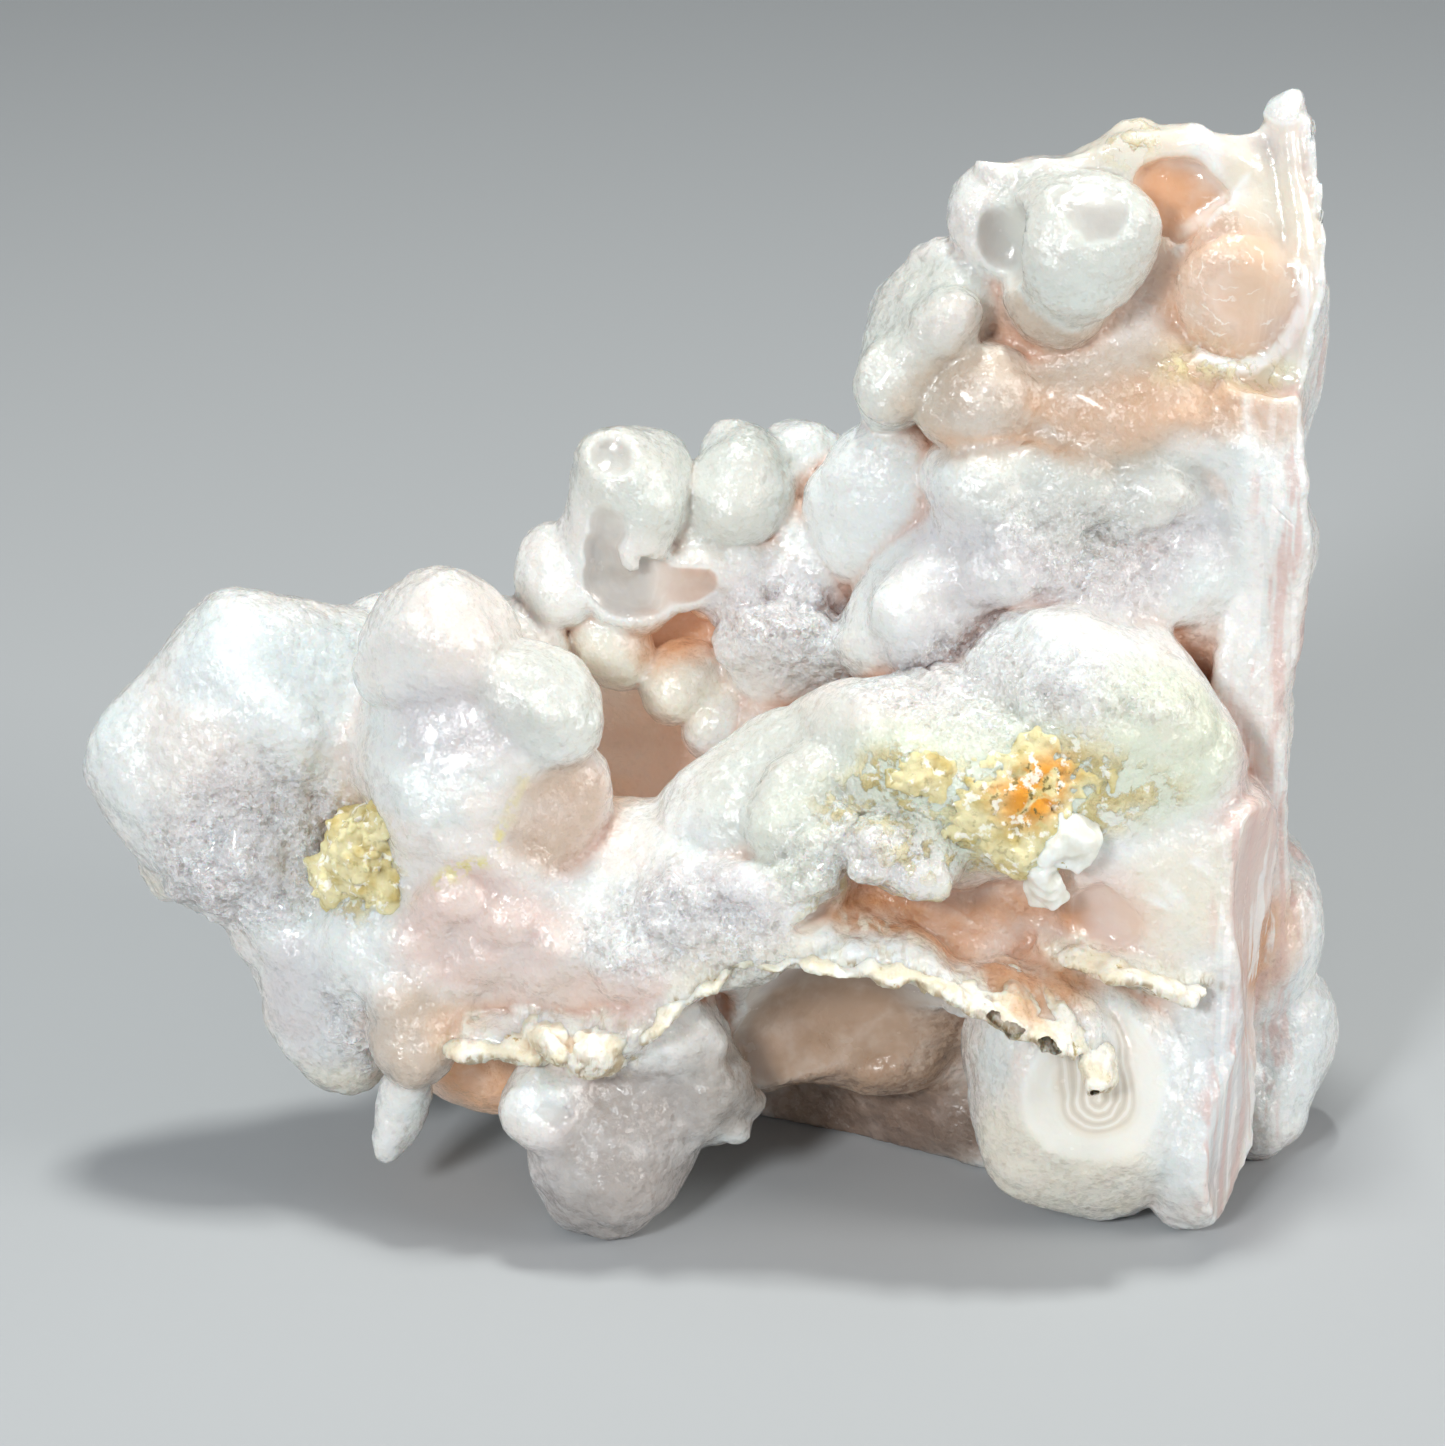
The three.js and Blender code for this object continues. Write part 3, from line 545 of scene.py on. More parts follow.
# Where the opal changes colour, and where shade, shadow and glow are painted on: soft-edged volumes in
# the lobes' frame
ZONES = {
    "banded": {
        "right foot": ball((20.4, -12.6, 8.4), (5, 2, 6)),
        "scoops": ball((-6.4, 0, 34), (3, 2, 4)),
        "tower disc": ball((27, -0.6, 51), (3, 1.6, 3.4)),
    },
    # painted glow: these areas emit warm light, standing in for light passing through the stone
    "glow": {
        "pocket": ball((-5, 6, 22.6), (5, 6, 5)),
        "knob": ball((-14.4, -3.4, 7), (4, 4, 3.6)),
        "amber recess": ball((24.5, 2.4, 55.2), (3, 2, 2.6)),
        "pocket's slit": ball((-2.6, 4, 30.4), (2.6, 3, 1.8)),
    },
    "beige": {
        "tower chin": ball((14, -1.6, 45), (4.5, 3, 3.4)),
        "peach band": ball((19, -2, 45), (9, 3.4, 3)),
        "tower skirt": ball((21, -2, 46), (9, 3, 3.4)),
        "under the globe": ball((17.8, -1.4, 49.4), (4.4, 3, 2.6)),
        "crown low": ball((-9.6, -8.4, 24.4), (3, 3, 3.4)),
        "fang root": ball((-17.4, -10, 12), (2.6, 3, 3.2)),
    },
    "ice": {
        "foot right": ball((25.4, -12, 9), (3, 3, 6)),
        "wing top": ball((-24, -3, 30), (6, 4, 3)),
        "foot knob": ball((-10, -13.4, 9.4), (1.8, 1.6, 1.8)),
        "rear lobe": ball((32.4, -2, 8), (3, 4, 6)),
    },
    "facet": {
        "row facet": ball((-1.2, 0.2, 34), (2.2, 2.4, 2.4)),
    },
    "mist": {
        "globe a": ball((1.2, 3, 38.6), (3.6, 3.8, 3.6)),
        "broken globe": ball((-4.4, 2, 39.6), (3.8, 4, 3.6)),
        "crown right": ball((-9.6, -6.4, 30.4), (4, 4, 3.4)),
        "tower left": ball((10.4, 1, 47.4), (4, 4, 4.8)),
        "saddle": ball((19, -2, 40.4), (7, 4, 3)),
        "shelf left": ball((4, -8, 26), (6, 5, 4)),
        "tower globe": ball((18.8, -1, 53.8), (5, 5, 5)),
    },
    # painted shadow: the back sole's front is darkened as if in shadow under the overhang
    "painted_shadow": {
        "back sole's front": ball((10, -1.4, 2.4), (9, 2.8, 3.2)),
    },
    # painted shade: the cave wall and back sole are darkened where shade falls
    "shade": {
        "cave wall": ball((6, -4, 10), (9, 4, 6)),
        "back sole": ball((9, 0, 3), (11, 6, 4)),
    },
    "smoke": {
        "middle foot": ball((-5, -11.4, 5.4), (5, 4, 5.8)),
        "middle foot right": ball((-1.4, -9.6, 8.4), (3.8, 3.4, 3.6)),
    },
    "layers": {
        "side face": slab((30.1, -6, 22), (1.3, 10, 34), (0, 0, -22)),
        "side top": ball((31.6, 2, 46), (1.2, 3, 16)),
        "front edge": slab((29.8, -2.6, 32), (1.8, 1.8, 10)),
    },
    "glass": {
        "tower globe's window": ball((19, -3.2, 56.4), (2, 1.7, 1.4), (0, 12, 0)),
        "broken globe's window": ball((-6.2, 0.6, 41.5), (1.5, 1.4, 1.4)),
        "scoops": ball((-6.8, 0.2, 34.6), (2.6, 1.6, 3.6)),
        "foot knob": ball((-9.6, -13, 9), (2.2, 1.6, 2)),
        "corner hollow": ball((14, 0.8, 53.4), (1.1, 1.3, 1.7)),
    },
    "amber": {
        "tower recess": ball((24.6, 2.6, 55.2), (2.9, 1.8, 2.4)),
        "pocket hollow": ball((-4.2, 2, 31), (1.8, 1.8, 1.6)),
        "pocket's slit": ball((-2.6, 4, 30.4), (2.6, 3, 1.6)),
        "band under the shelf": ball((12, -10.4, 18.6), (8, 2.4, 2)),
        "lip's amber patch": ball((16.6, -12.6, 16), (3.8, 3, 1.8), (0, 20, 0)),
        "rear spot": ball((29.6, -5.5, 15), (1.8, 2, 2.6)),
        "knob's shade": ball((-15.6, -5, 9.6), (2.6, 2.4, 2)),
        "knob": ball((-13.4, -6, 6.8), (3, 1.6, 2.4)),
    },
    "peach": {
        "tower face": ball((26.6, 0.2, 51), (4.2, 3, 4.8)),
        "tower skirt": ball((24, -1.5, 45), (8, 2.6, 1.8)),
        "tower crease": ball((15.6, -1.6, 42.9), (4, 2.4, 0.7)),
        "cave wall": ball((7, -2, 9.5), (9, 5, 6.5)),
        "knob": ball((-13.7, -3, 6.2), (4, 4, 3.4)),
        "fang root": ball((-15.0, -9.6, 11.8), (1.4, 2.4, 1.6)),
        "pocket's lower wall": ball((-7.4, -1, 21.4), (3, 5, 3)),
        "rear lobe": ball((30, -3.4, 14.5), (2.4, 3, 3.4)),
    },
    "pink": {
        "pocket": ball((-4.6, 3.4, 22.4), (5, 5, 4.6)),
        "lower belly": ball((-12, -9.6, 17.6), (5.6, 2.6, 4)),
        "crown right": ball((-9, -8, 24), (3, 3, 3.6)),
        "nook": ball((20.8, -10, 19.6), (3.2, 3, 3)),
        "back sole": ball((8, 3, 4), (11, 7, 5)),
        "cave lobe": ball((2.2, -7, 8.8), (1.7, 1.6, 1.7)),
        "side strip": ball((28.6, -6, 18), (1.9, 5, 14)),
        "apron": ball((-6, -12, 15.6), (3.6, 2, 2)),
        "back's middle": ball((8, 16, 15), (8, 6, 7)),
    },
    "lilac": {
        "wing middle": ball((-25.6, -5, 21), (5, 3, 5)),
        "hem": ball((-22.6, -6, 12.4), (2.6, 2.6, 4)),
        "middle foot": ball((-5.6, -12, 5.4), (5, 4, 5.6)),
        "apron": ball((-0.6, -12, 20.6), (4.6, 2, 3)),
        "globes behind": ball((3, 2, 31), (5, 3, 4)),
        "saddle": ball((18.6, -2, 37.4), (9, 3.6, 5)),
        "saddle left": ball((12, -3, 34), (4, 3, 4)),
        "foot side": ball((27, -10.6, 9), (1.6, 3, 7)),
        "back's right": ball((22, 14, 38), (8, 6, 9)),
        "crown": ball((-14, -8, 29), (4, 2.4, 3)),
        "crown right's lens": ball((-9.6, -8.6, 32.4), (1.7, 1.4, 0.9), (0, 30, 0)),
    },
    "green": {
        "shelf": ball((13.5, -10, 26.4), (9, 4, 4.6)),
        "shelf left": ball((5, -11, 24.4), (3, 2.6, 3.4)),
        "shelf right": ball((22.6, -9, 28.6), (4.6, 4, 5)),
        "tower ledge": ball((27.4, -0.6, 46.8), (4.2, 1.8, 1.3)),
    },
    "smooth": {
        "tower globe": ball((19.1, -1, 53.5), (4.6, 4.6, 4.6)),
        "right foot": ball((20, -10, 7), (7.4, 6, 8)),
        "hem": ball((-21.4, -5, 10.8), (4, 4, 5.4)),
        "crown": ball((-13, -6, 31), (6, 5, 4.4)),
        "shelf dome": ball((20.6, -7, 29), (6, 6, 5)),
        "globe c": ball((8.8, 1.6, 38.2), (4, 3.8, 5)),
        "globe a": ball((1.2, 3, 38), (3, 3.4, 3)),
        "fang root": ball((-17.4, -9, 11.4), (2.6, 3, 3.2)),
        "foot knob": ball((-9.4, -11.8, 8.1), (2.8, 3, 2.8)),
        "scoops": ball((-6.8, 0.2, 34.6), (2.8, 1.8, 4)),
    },
    "vein": {
        "beside the amber recess": ball((26, 0.8, 54.9), (3.6, 2.4, 0.4), (0, -50, 0)),
        "strip's front line": slab((27.7, -2.6, 34), (0.25, 1.6, 12), (0, 3, 0)),
        "shelf's far corner": ball((24.6, -11, 21.4), (2.4, 2.4, 0.4), (0, -50, 0)),
    },
    "cream": {
        "cream lobe": ball((-6.8, 1, 29.2), (2.6, 2.4, 2.2)),
        "pocket knob": ball((-2.4, 2, 27.8), (2.8, 2.8, 2.8)),
        "right foot": ball((19, -12.6, 5.4), (6, 3, 6)),
        "apron's edge": ball((0.6, -12.6, 17.6), (4.4, 2.4, 1.6), (0, -24, 0)),
        "wing rim": ball((-29.4, -1, 17.6), (4, 3, 1.6)),
        "hem's end": ball((-20.6, -5, 7), (3, 3, 2)),
        "right block": ball((24.6, -10.6, 20.6), (3, 2.4, 3.4)),
        "second lip": ball((22, -12, 16.4), (3.6, 2, 1.4)),
        "rim": ball((22, 2, 58.4), (3, 2, 1.4)),
        "tower right": ball((28.6, 0.2, 54.6), (2.8, 2.8, 4.8)),
        "back's left": ball((-6, 14, 21), (8, 6, 9)),
    },
    "straw": {
        "smear": ball((-11.6, -9, 24.4), (0.45, 3, 2.9), (0, 12, 0)),
        "smear's foot": ball((-13.6, -9.6, 21.2), (1.7, 3, 0.5), (0, -20, 0)),
    },
    "ochre": {
        "round the crust": ball((15.8, -12, 26.2), (6.8, 2.6, 3.6)),
        "right of the crust": ball((22, -11, 27), (3, 2.4, 0.9), (0, 20, 0)),
        "left of the crust": ball((9, -12, 27), (4, 2.6, 2.4)),
        "below the crust": ball((12.4, -12.6, 23.2), (5, 2, 1.4)),
        "shelf's lower edge": ball((10, -12.4, 21), (5.6, 2, 0.7)),
        "round the crumb": ball((-19.2, -7.6, 20.8), (2.8, 2.6, 3)),
        "tower ledge": ball((26.8, -1, 46.7), (3, 1.2, 0.6)),
        "rim bump": ball((22, 1.6, 58.4), (1.2, 1.2, 0.6)),
    },
    "rust": {
        "crust": ball((16.9, -12.6, 27.4), (1.8, 1.6, 1.5)),
        "crust's left": ball((15.0, -12.8, 27.9), (1, 1, 0.5)),
    },
    "sugar": {
        "wing": ball((-26, -4, 21), (6, 4, 6)),
        "saddle": ball((19, -2, 37.4), (7, 3, 4)),
        "shelf front": ball((8, -12, 23.4), (5, 2.6, 2.6)),
        "row low": ball((4, 1, 31), (5, 3, 2.6)),
        "hem": ball((-19.4, -6, 12), (2.4, 3, 4)),
        "apron": ball((-2, -12, 19), (6, 3, 3)),
        "shelf top": ball((16, -7, 31), (9, 5, 3)),
        "back": ball((14, 16, 27), (10, 6, 7)),
    },
}

def zone(name, p):
    """How far points lie in a named zone, 0 to 1, with a wandering soft edge."""
    edge = 0.25 if name in ("vein", "straw") else 1.0
    wander = 0.7 * rough_noise(p, 2.6, 2, 9) + 0.3 * (1 - edge) * rough_noise(p, 0.9, 2, 10)
    share = np.zeros(p[0].shape, np.float32)
    for form in ZONES[name].values():
        share = np.maximum(share, smooth(0.9 * edge, -1.1 * edge, distance(form, p) + wander))
    if name == "beige":
        share = share * smooth(0.1, 0.5, distance(LOBES["tower globe"], p))
    return np.maximum(share, crescent(p)) if name == "vein" else share


def crescent(p):
    """The white crescent at the lower right of the tower's disc, 0 to 1, with a thin ragged edge."""
    wander = 0.12 * rough_noise(p, 0.8, 2, 14)
    within = smooth(0.1, -0.1, distance(CRESCENT[0], p) + wander)
    return within * smooth(-0.1, 0.1, distance(CRESCENT[1], p) + wander)


def near_lip(p):
    """How near points lie to the lobes of the lip, 0 to 1, with a ragged edge."""
    away = np.min([distance(form, p) for form in LIP.values()], axis=0)
    return smooth(0.5, -0.2, away + 0.8 * rough_noise(p, 1.4, 3, 12))


def away_from_line(points, line):
    """Distance in mm from a straight piece of line."""
    a, b = np.array(line, np.float32)
    along = np.clip((points - a) @ (b - a) / ((b - a) @ (b - a)), 0, 1)
    return np.linalg.norm(points - a - along[:, None] * (b - a), axis=1)


def in_metres(points):
    return ((points - CENTRE) * MM).astype(np.float32)


def put_mesh(name, points, faces):
    """An object at the origin with these points, in mm in the lobes' frame, and quads."""
    mesh = bpy.data.meshes.new(name)
    mesh.vertices.add(len(points))
    mesh.vertices.foreach_set("co", in_metres(points).ravel())
    mesh.loops.add(faces.size)
    mesh.loops.foreach_set("vertex_index", faces.ravel())
    mesh.polygons.add(len(faces))
    mesh.polygons.foreach_set("loop_start", np.arange(0, faces.size, faces.shape[1], dtype=np.int32))
    mesh.update(calc_edges=True)
    mesh.validate()
    obj = bpy.data.objects.new(name, mesh)
    bpy.context.scene.collection.objects.link(obj)
    return obj


def thin(obj):
    """Merges the smallest faces until MOST_TRIANGLES are left."""
    triangles = sum(len(face.vertices) - 2 for face in obj.data.polygons)
    if triangles <= MOST_TRIANGLES:
        return
    modifier = obj.modifiers.new("thin", "DECIMATE")
    modifier.ratio = MOST_TRIANGLES / triangles
    graph = bpy.context.evaluated_depsgraph_get()
    thinned = bpy.data.meshes.new_from_object(obj.evaluated_get(graph))
    obj.modifiers.clear()
    obj.data = thinned


def mesh_field(field, name):
    """The field's surface as an object, and its points in mm in the lobes' frame with their normals."""
    obj = put_mesh(name, *surface_nets(field))
    thin(obj)
    mesh = obj.data
    place = np.empty(len(mesh.vertices) * 3, np.float32)
    mesh.vertices.foreach_get("co", place)
    normal = np.empty(len(mesh.vertices) * 3, np.float32)
    mesh.vertex_normals.foreach_get("vector", normal)
    mesh.shade_smooth()
    return obj, place.reshape(-1, 3) / MM + np.float32(CENTRE), normal.reshape(-1, 3)


def store(obj, **shares):
    """Gives the mesh an attribute for each named row of values, one value to a point."""
    for name, values in shares.items():
        attribute = obj.data.attributes.new(name, "FLOAT", "POINT")
        attribute.data.foreach_set("value", np.ascontiguousarray(values, np.float32))


def named(forms, *starts):
    """The forms whose names start with one of these words."""
    return {name: form for name, form in forms.items() if name.startswith(starts)}


def without(forms, *others):
    """The forms that aren't in any of the others."""
    return {name: form for name, form in forms.items() if not any(name in other for other in others)}


def grow_opal():
    """The opal's field: what grew, what broke out of it, and the shells that flaked off."""
    field = Field(LOW, HIGH, STEP)
    field.add(CORE, fillet=2.0)
    recess = named(BREAKS, "amber recess")
    field.cut(without(BREAKS, recess), rough=0.35)
    field.cut(recess, rough=0.7, grain=1.5)
    wing = named(LOBES, "wing")
    saddle = named(LOBES, "saddle")
    rim = named(LOBES, "rim")
    torn = named(LOBES, "middle foot right", "foot neck")
    field.add(wing, fillet=1.8)
    field.add(saddle, fillet=0.8)
    field.add(without(LOBES | SET_BACK, wing, saddle, rim, torn), fillet=0.35)
    field.add(rim, fillet=0.8, ragged=0.5, grain=1.2)
    field.add(torn, fillet=0.8, ragged=0.6, grain=1.5)
    field.add(SWELLS, fillet=1.3)
    field.add(BEADS, fillet=0.6)
    field.cut(CHIPS, rough=0.2, wear=0.3)
    field.cut(DENTS, rough=0.1)
    field.flake(SPALLS, SHELL)
    field.add(LATE, fillet=0.6)
    behind = {name: (kind, (x, y + LIP_BACK, z + LIP_UP), half, turn)
              for name, (kind, (x, y, z), half, turn) in LIP.items()}
    field.add(behind, fillet=1.0, ragged=0.4, grain=1.7)
    field.floor(0.0)
    return field


def opal_relief(p, depth, hollow):
    """Height in mm added along the normal: merged small domes and a sugary crust on the grown skin,
    and a fine crumple on the breaks."""
    skin = smooth(0.5, 0.15, depth) * smooth(0.95, 0.5, hollow)
    lumpy = smooth(-0.35, 0.35, noise(p, 7.0, 3))
    bubbly = smooth(0.5, -1.0, distance(BUBBLY, p))
    bumps = (0.12 + 0.3 * lumpy + 0.4 * bubbly) * (domes(p, 2.3, 1) - 0.4)
    grains = domes(p, 0.95, 2) - 0.4 + rough_noise(p, 1.5, 3, 12)
    sugary = (0.14 + 0.34 * zone("sugar", p)) * grains
    crumple = 0.13 * rough_noise(p, 1.4, 3, 5)
    return skin * (bumps + sugary) + (1 - skin) * crumple + 0.3 * crescent(p)


def make_opal():
    field = grow_opal()
    obj, points, normals = mesh_field(field, "opal_globes")
    p = list(points.T)
    depth = np.maximum(0, -field.sample(field.skin, points))
    crease = smooth(0.54, 0.76, field.sample(field.fullness(0.9), points))
    hollow = smooth(0.55, 0.85, field.sample(field.fullness(3.0), points))
    above_floor = smooth(0.0, 0.3, points[:, 2])
    points = points + normals * (above_floor * opal_relief(p, depth, hollow))[:, None]
    points[:, 2] = np.maximum(points[:, 2], 0)
    obj.data.vertices.foreach_set("co", in_metres(points).ravel())
    obj.data.update()
    store(obj, depth=depth, crease=crease, hollow=hollow, lip=near_lip(p))
    store(obj, **{name: zone(name, p) for name in ZONES})
    store(obj, under=smooth(0.3, -0.4, normals[:, 2]))
    store(obj, hook=away_from_line(points, HOOK), disc=away_from_line(points, DISC))
    return obj


def field_round(forms, step, margin=0.0):
    """An empty field round some forms, by their largest half sizes and a margin, and its points."""
    low = np.min([np.array(f[1]) - max(f[2]) for f in forms.values()], axis=0) - margin
    high = np.max([np.array(f[1]) + max(f[2]) for f in forms.values()], axis=0) + margin
    field = Field(low, high, step)
    return field, field.points()


def make_lip():
    """The ragged crust that hangs over the cave: flat lobes drawn down unevenly by noise at four sizes
    across the lip, with spikes of ridged noise here and there, and torn by noise at three sizes."""
    field, p = field_round(LIP, LIP_STEP)
    across = (p[0], p[1] * 0.5, p[2] * 0.12)
    spikes = (1 - np.abs(noise(across, 0.9, 19))) ** 3 * smooth(-0.2, 0.5, noise(across, 3.6, 23))
    drawn = (p[0], p[1] + 0.1, p[2] + 0.1 + 0.9 * rough_noise(across, 2.6, 4, 17) + 0.8 * spikes)
    flat = np.min([distance(form, drawn) for form in LIP.values()], axis=0)
    torn = 0.45 * rough_noise(p, 2.6, 2, 31) + 0.35 * rough_noise(p, 0.9, 3, 35)
    field.d = (flat + torn + 0.25 * np.abs(noise(p, 0.5, 37))).astype(np.float32)
    obj, points, normals = mesh_field(field, "ragged_lip")
    p = list(points.T)
    crease = smooth(0.5, 0.72, field.sample(field.fullness(0.5), points))
    store(obj, crease=crease, under=smooth(0.45, -0.5, normals[:, 2]))
    store(obj, amber=zone("amber", p), peach=zone("peach", p))
    return obj


def make_flakes():
    """White splinters: blocks whose faces are bent and notched by noise at three sizes."""
    field, p = field_round(FLAKES, FLAKE_STEP, margin=1)
    field.add(FLAKES, fillet=0.1)
    field.d = field.d + 0.3 * rough_noise(p, 1.3, 3, 41) + 0.3 * np.abs(noise(p, 0.9, 43)) - 0.1
    return mesh_field(field, "white_splinters")[0]


def make_rock(name, forms):
    """Crumbly host rock: the forms with strong noise at three sizes on them."""
    field, p = field_round(forms, ROCK_STEP, margin=1)
    field.add(forms, fillet=0.4)
    crumbs = 0.3 * (domes(p, 1.0, 5) - 0.45) + 0.32 * (domes(p, 0.5, 6) - 0.45)
    facets = 0.6 * np.abs(noise(p, 1.9, 21)) + 0.3 * np.abs(noise(p, 0.8, 22))
    field.d = field.d + 0.3 * rough_noise(p, 2.2, 2, 20) + facets - 0.32 - crumbs
    obj, points, _ = mesh_field(field, name)
    pit = smooth(0.5, 0.7, field.sample(field.fullness(0.5), points))
    store(obj, pit=pit, rust=zone("rust", list(points.T)))
    return obj


def tone(code):
    """A colour written as red, green, blue in hexadecimal, as the linear values that nodes take."""
    parts = [int(code[i : i + 2], 16) / 255 for i in (0, 2, 4)]
    linear = [c / 12.92 if c < 0.04045 else ((c + 0.055) / 1.055) ** 2.4 for c in parts]
    return (*linear, 1.0)


class Shader:
    """Short ways to add nodes to one shader tree and to join them; a colour may be given as its code."""

    def __init__(self, tree):
        self.tree = tree
        tree.nodes.clear()

    def add(self, kind, sockets=None, **settings):
        node = self.tree.nodes.new(kind)
        for name, value in settings.items():
            setattr(node, name, value)
        for key, value in (sockets or {}).items():
            self.put(node.inputs[key], value)
        return node

    def put(self, socket, value):
        if isinstance(value, bpy.types.NodeSocket):
            self.tree.links.new(value, socket)
        else:
            socket.default_value = tone(value) if isinstance(value, str) else value

    def place(self):
        """Object coordinates in millimetres."""
        return self.scale(self.add("ShaderNodeTexCoord").outputs["Object"], 1 / MM)

    def mask(self, name):
        """One of the mesh's own attributes."""
        return self.add("ShaderNodeAttribute", attribute_name=name).outputs["Fac"]

    def math(self, operation, a, b=0.0, clamp=False):
        return self.add("ShaderNodeMath", {0: a, 1: b}, operation=operation, use_clamp=clamp).outputs[0]

    def times(self, a, b, clamp=False):
        return self.math("MULTIPLY", a, b, clamp)

    def plus(self, a, b, clamp=False):
        return self.math("ADD", a, b, clamp)

    def minus(self, a, b, clamp=False):
        return self.math("SUBTRACT", a, b, clamp)

    def wave(self, level, rate):
        """The sine of a level times a rate."""
        return self.math("SINE", self.times(level, rate))

    def vector(self, operation, a, b=(0, 0, 0)):
        return self.add("ShaderNodeVectorMath", {0: a, 1: b}, operation=operation).outputs[0]

    def scale(self, a, factor):
        return self.add("ShaderNodeVectorMath", {0: a, "Scale": factor}, operation="SCALE").outputs[0]

    def between(self, value, low, high, start=0.0, end=1.0):
        """A smooth step: start below low, end above high."""
        sockets = {"Value": value, "From Min": low, "From Max": high, "To Min": start, "To Max": end}
        return self.add("ShaderNodeMapRange", sockets, interpolation_type="SMOOTHSTEP").outputs["Result"]

    def noise(self, place, size, detail=2.0, warp=0.0):
        sockets = {"Vector": place, "Scale": 1 / size, "Detail": detail, "Distortion": warp}
        sockets["Roughness"] = 0.55
        return self.add("ShaderNodeTexNoise", sockets, normalize=True).outputs["Fac"]

    def patches(self, place, size, detail, low, high, start=0.0, end=1.0, warp=0.0):
        """Noise of that size put through a smooth step."""
        return self.between(self.noise(place, size, detail, warp), low, high, start, end)

    def wander(self, place, size, detail, reach):
        """Noise round 0 that bends bands."""
        return self.times(self.minus(self.noise(place, size, detail), 0.5), reach)

    def cells(self, place, size, output="Distance"):
        node = self.add("ShaderNodeTexVoronoi", {"Vector": place, "Scale": 1 / size}, feature="F1")
        return node.outputs[output]

    def tint(self, share, first, second):
        """A colour between two."""
        return self.add("ShaderNodeMix", {0: share, 6: first, 7: second}, data_type="RGBA").outputs[2]

    def lay(self, colour, second, share, strength):
        """A second colour laid over the first by a share, and at most that strongly."""
        return self.tint(self.times(share, strength), colour, second)

    def group(self, tree, **sockets):
        return self.add("ShaderNodeGroup", sockets, node_tree=tree).outputs

    def bump(self, height, strength, reach):
        """The normal bent by a height, in steps of that reach in mm."""
        sockets = {"Strength": strength, "Distance": reach * MM, "Height": height}
        return self.add("ShaderNodeBump", sockets).outputs["Normal"]

    def surface(self, sockets):
        """The one shader of a material and its output."""
        shader = self.add("ShaderNodeBsdfPrincipled", sockets)
        self.add("ShaderNodeOutputMaterial", {"Surface": shader.outputs["BSDF"]})


def new_material(name):
    material = bpy.data.materials.new(name)
    material.use_nodes = True
    return material, Shader(material.node_tree)


def milky(weight, colour, reach):
    """Light scattered under the surface: how much, how far for each colour, and its reach in mm."""
    return {"Subsurface Weight": weight, "Subsurface Radius": colour, "Subsurface Scale": reach * MM}


def new_group(name, inputs, outputs):
    """An empty shader node group; an input is given as its default value, or None for a vector."""
    tree = bpy.data.node_groups.new(name, "ShaderNodeTree")
    for key, value in inputs.items():
        kind = "NodeSocketVector" if value is None else "NodeSocketFloat"
        socket = tree.interface.new_socket(key, in_out="INPUT", socket_type=kind)
        if value is not None:
            socket.default_value = value
    for key, kind in outputs.items():
        tree.interface.new_socket(key, in_out="OUTPUT", socket_type=kind)
    shader = Shader(tree)
    return shader, shader.add("NodeGroupInput").outputs, shader.add("NodeGroupOutput").inputs


def ochre_stain():
    """Crumbly ochre colour with rust, straw and dark grit, and the height of its grain."""
    outputs = {"Color": "NodeSocketColor", "Height": "NodeSocketFloat"}
    s, given, out = new_group("Ochre stain", {"Place": None, "Rust": 0.3}, outputs)
    place, rust = given["Place"], given["Rust"]
    colour = s.tint(s.patches(place, 1.8, 3, 0.38, 0.66), "e8dfb2", "ccb877")
    rusty = s.times(s.patches(place, 1.2, 3, 0.38, 0.54, warp=0.6), rust, True)
    colour = s.tint(rusty, colour, "dd962c")
    grit = s.times(s.patches(place, 0.5, 4, 0.56, 0.66, 0.0, 0.8), s.plus(rust, 0.4), True)
    colour = s.tint(grit, colour, "7d6f3c")
    s.put(out["Color"], s.tint(s.patches(place, 0.7, 3, 0.45, 0.36, 0.0, 0.85), colour, "fdfbee"))
    s.put(out["Height"], s.plus(s.noise(place, 0.4, 5), s.times(s.noise(place, 0.16, 2), 0.4)))
    return s.tree


def sugar_grain():
    """Crystalline druse: each small cell turns the surface its own way, so that it glitters."""
    inputs = {"Place": None, "Normal": None, "Size": 0.3, "Tilt": 0.5}
    s, given, out = new_group("Sugar grain", inputs, {"Normal": "NodeSocketVector"})
    place = s.vector("DIVIDE", given["Place"], given["Size"])
    normal = given["Normal"]
    for size, share in ((1.0, 1.0), (0.45, 0.7)):
        random = s.vector("SUBTRACT", s.cells(place, size, "Color"), (0.5, 0.5, 0.5))
        normal = s.vector("ADD", normal, s.scale(s.scale(random, given["Tilt"]), share))
    s.put(out["Normal"], s.vector("NORMALIZE", normal))
    return s.tree


def opal_skin_colour(s, place):
    """Milk white on the tops of the globes; warmer and darker towards creases and hollows, as painted
    shade.
    """
    milk = s.tint(s.patches(place, 9.0, 2, 0.35, 0.65), "eaedeb", "e9e3dd")
    colour = s.tint(s.patches(place, 5.0, 2, 0.5, 0.7, 0.0, 0.6, warp=0.4), milk, "dde6e5")
    # painted shade: creases and hollows are tinted a darker peach
    recess = s.plus(s.times(s.mask("crease"), 0.75), s.times(s.mask("hollow"), 0.55), True)
    return s.tint(recess, colour, "dcb49c")


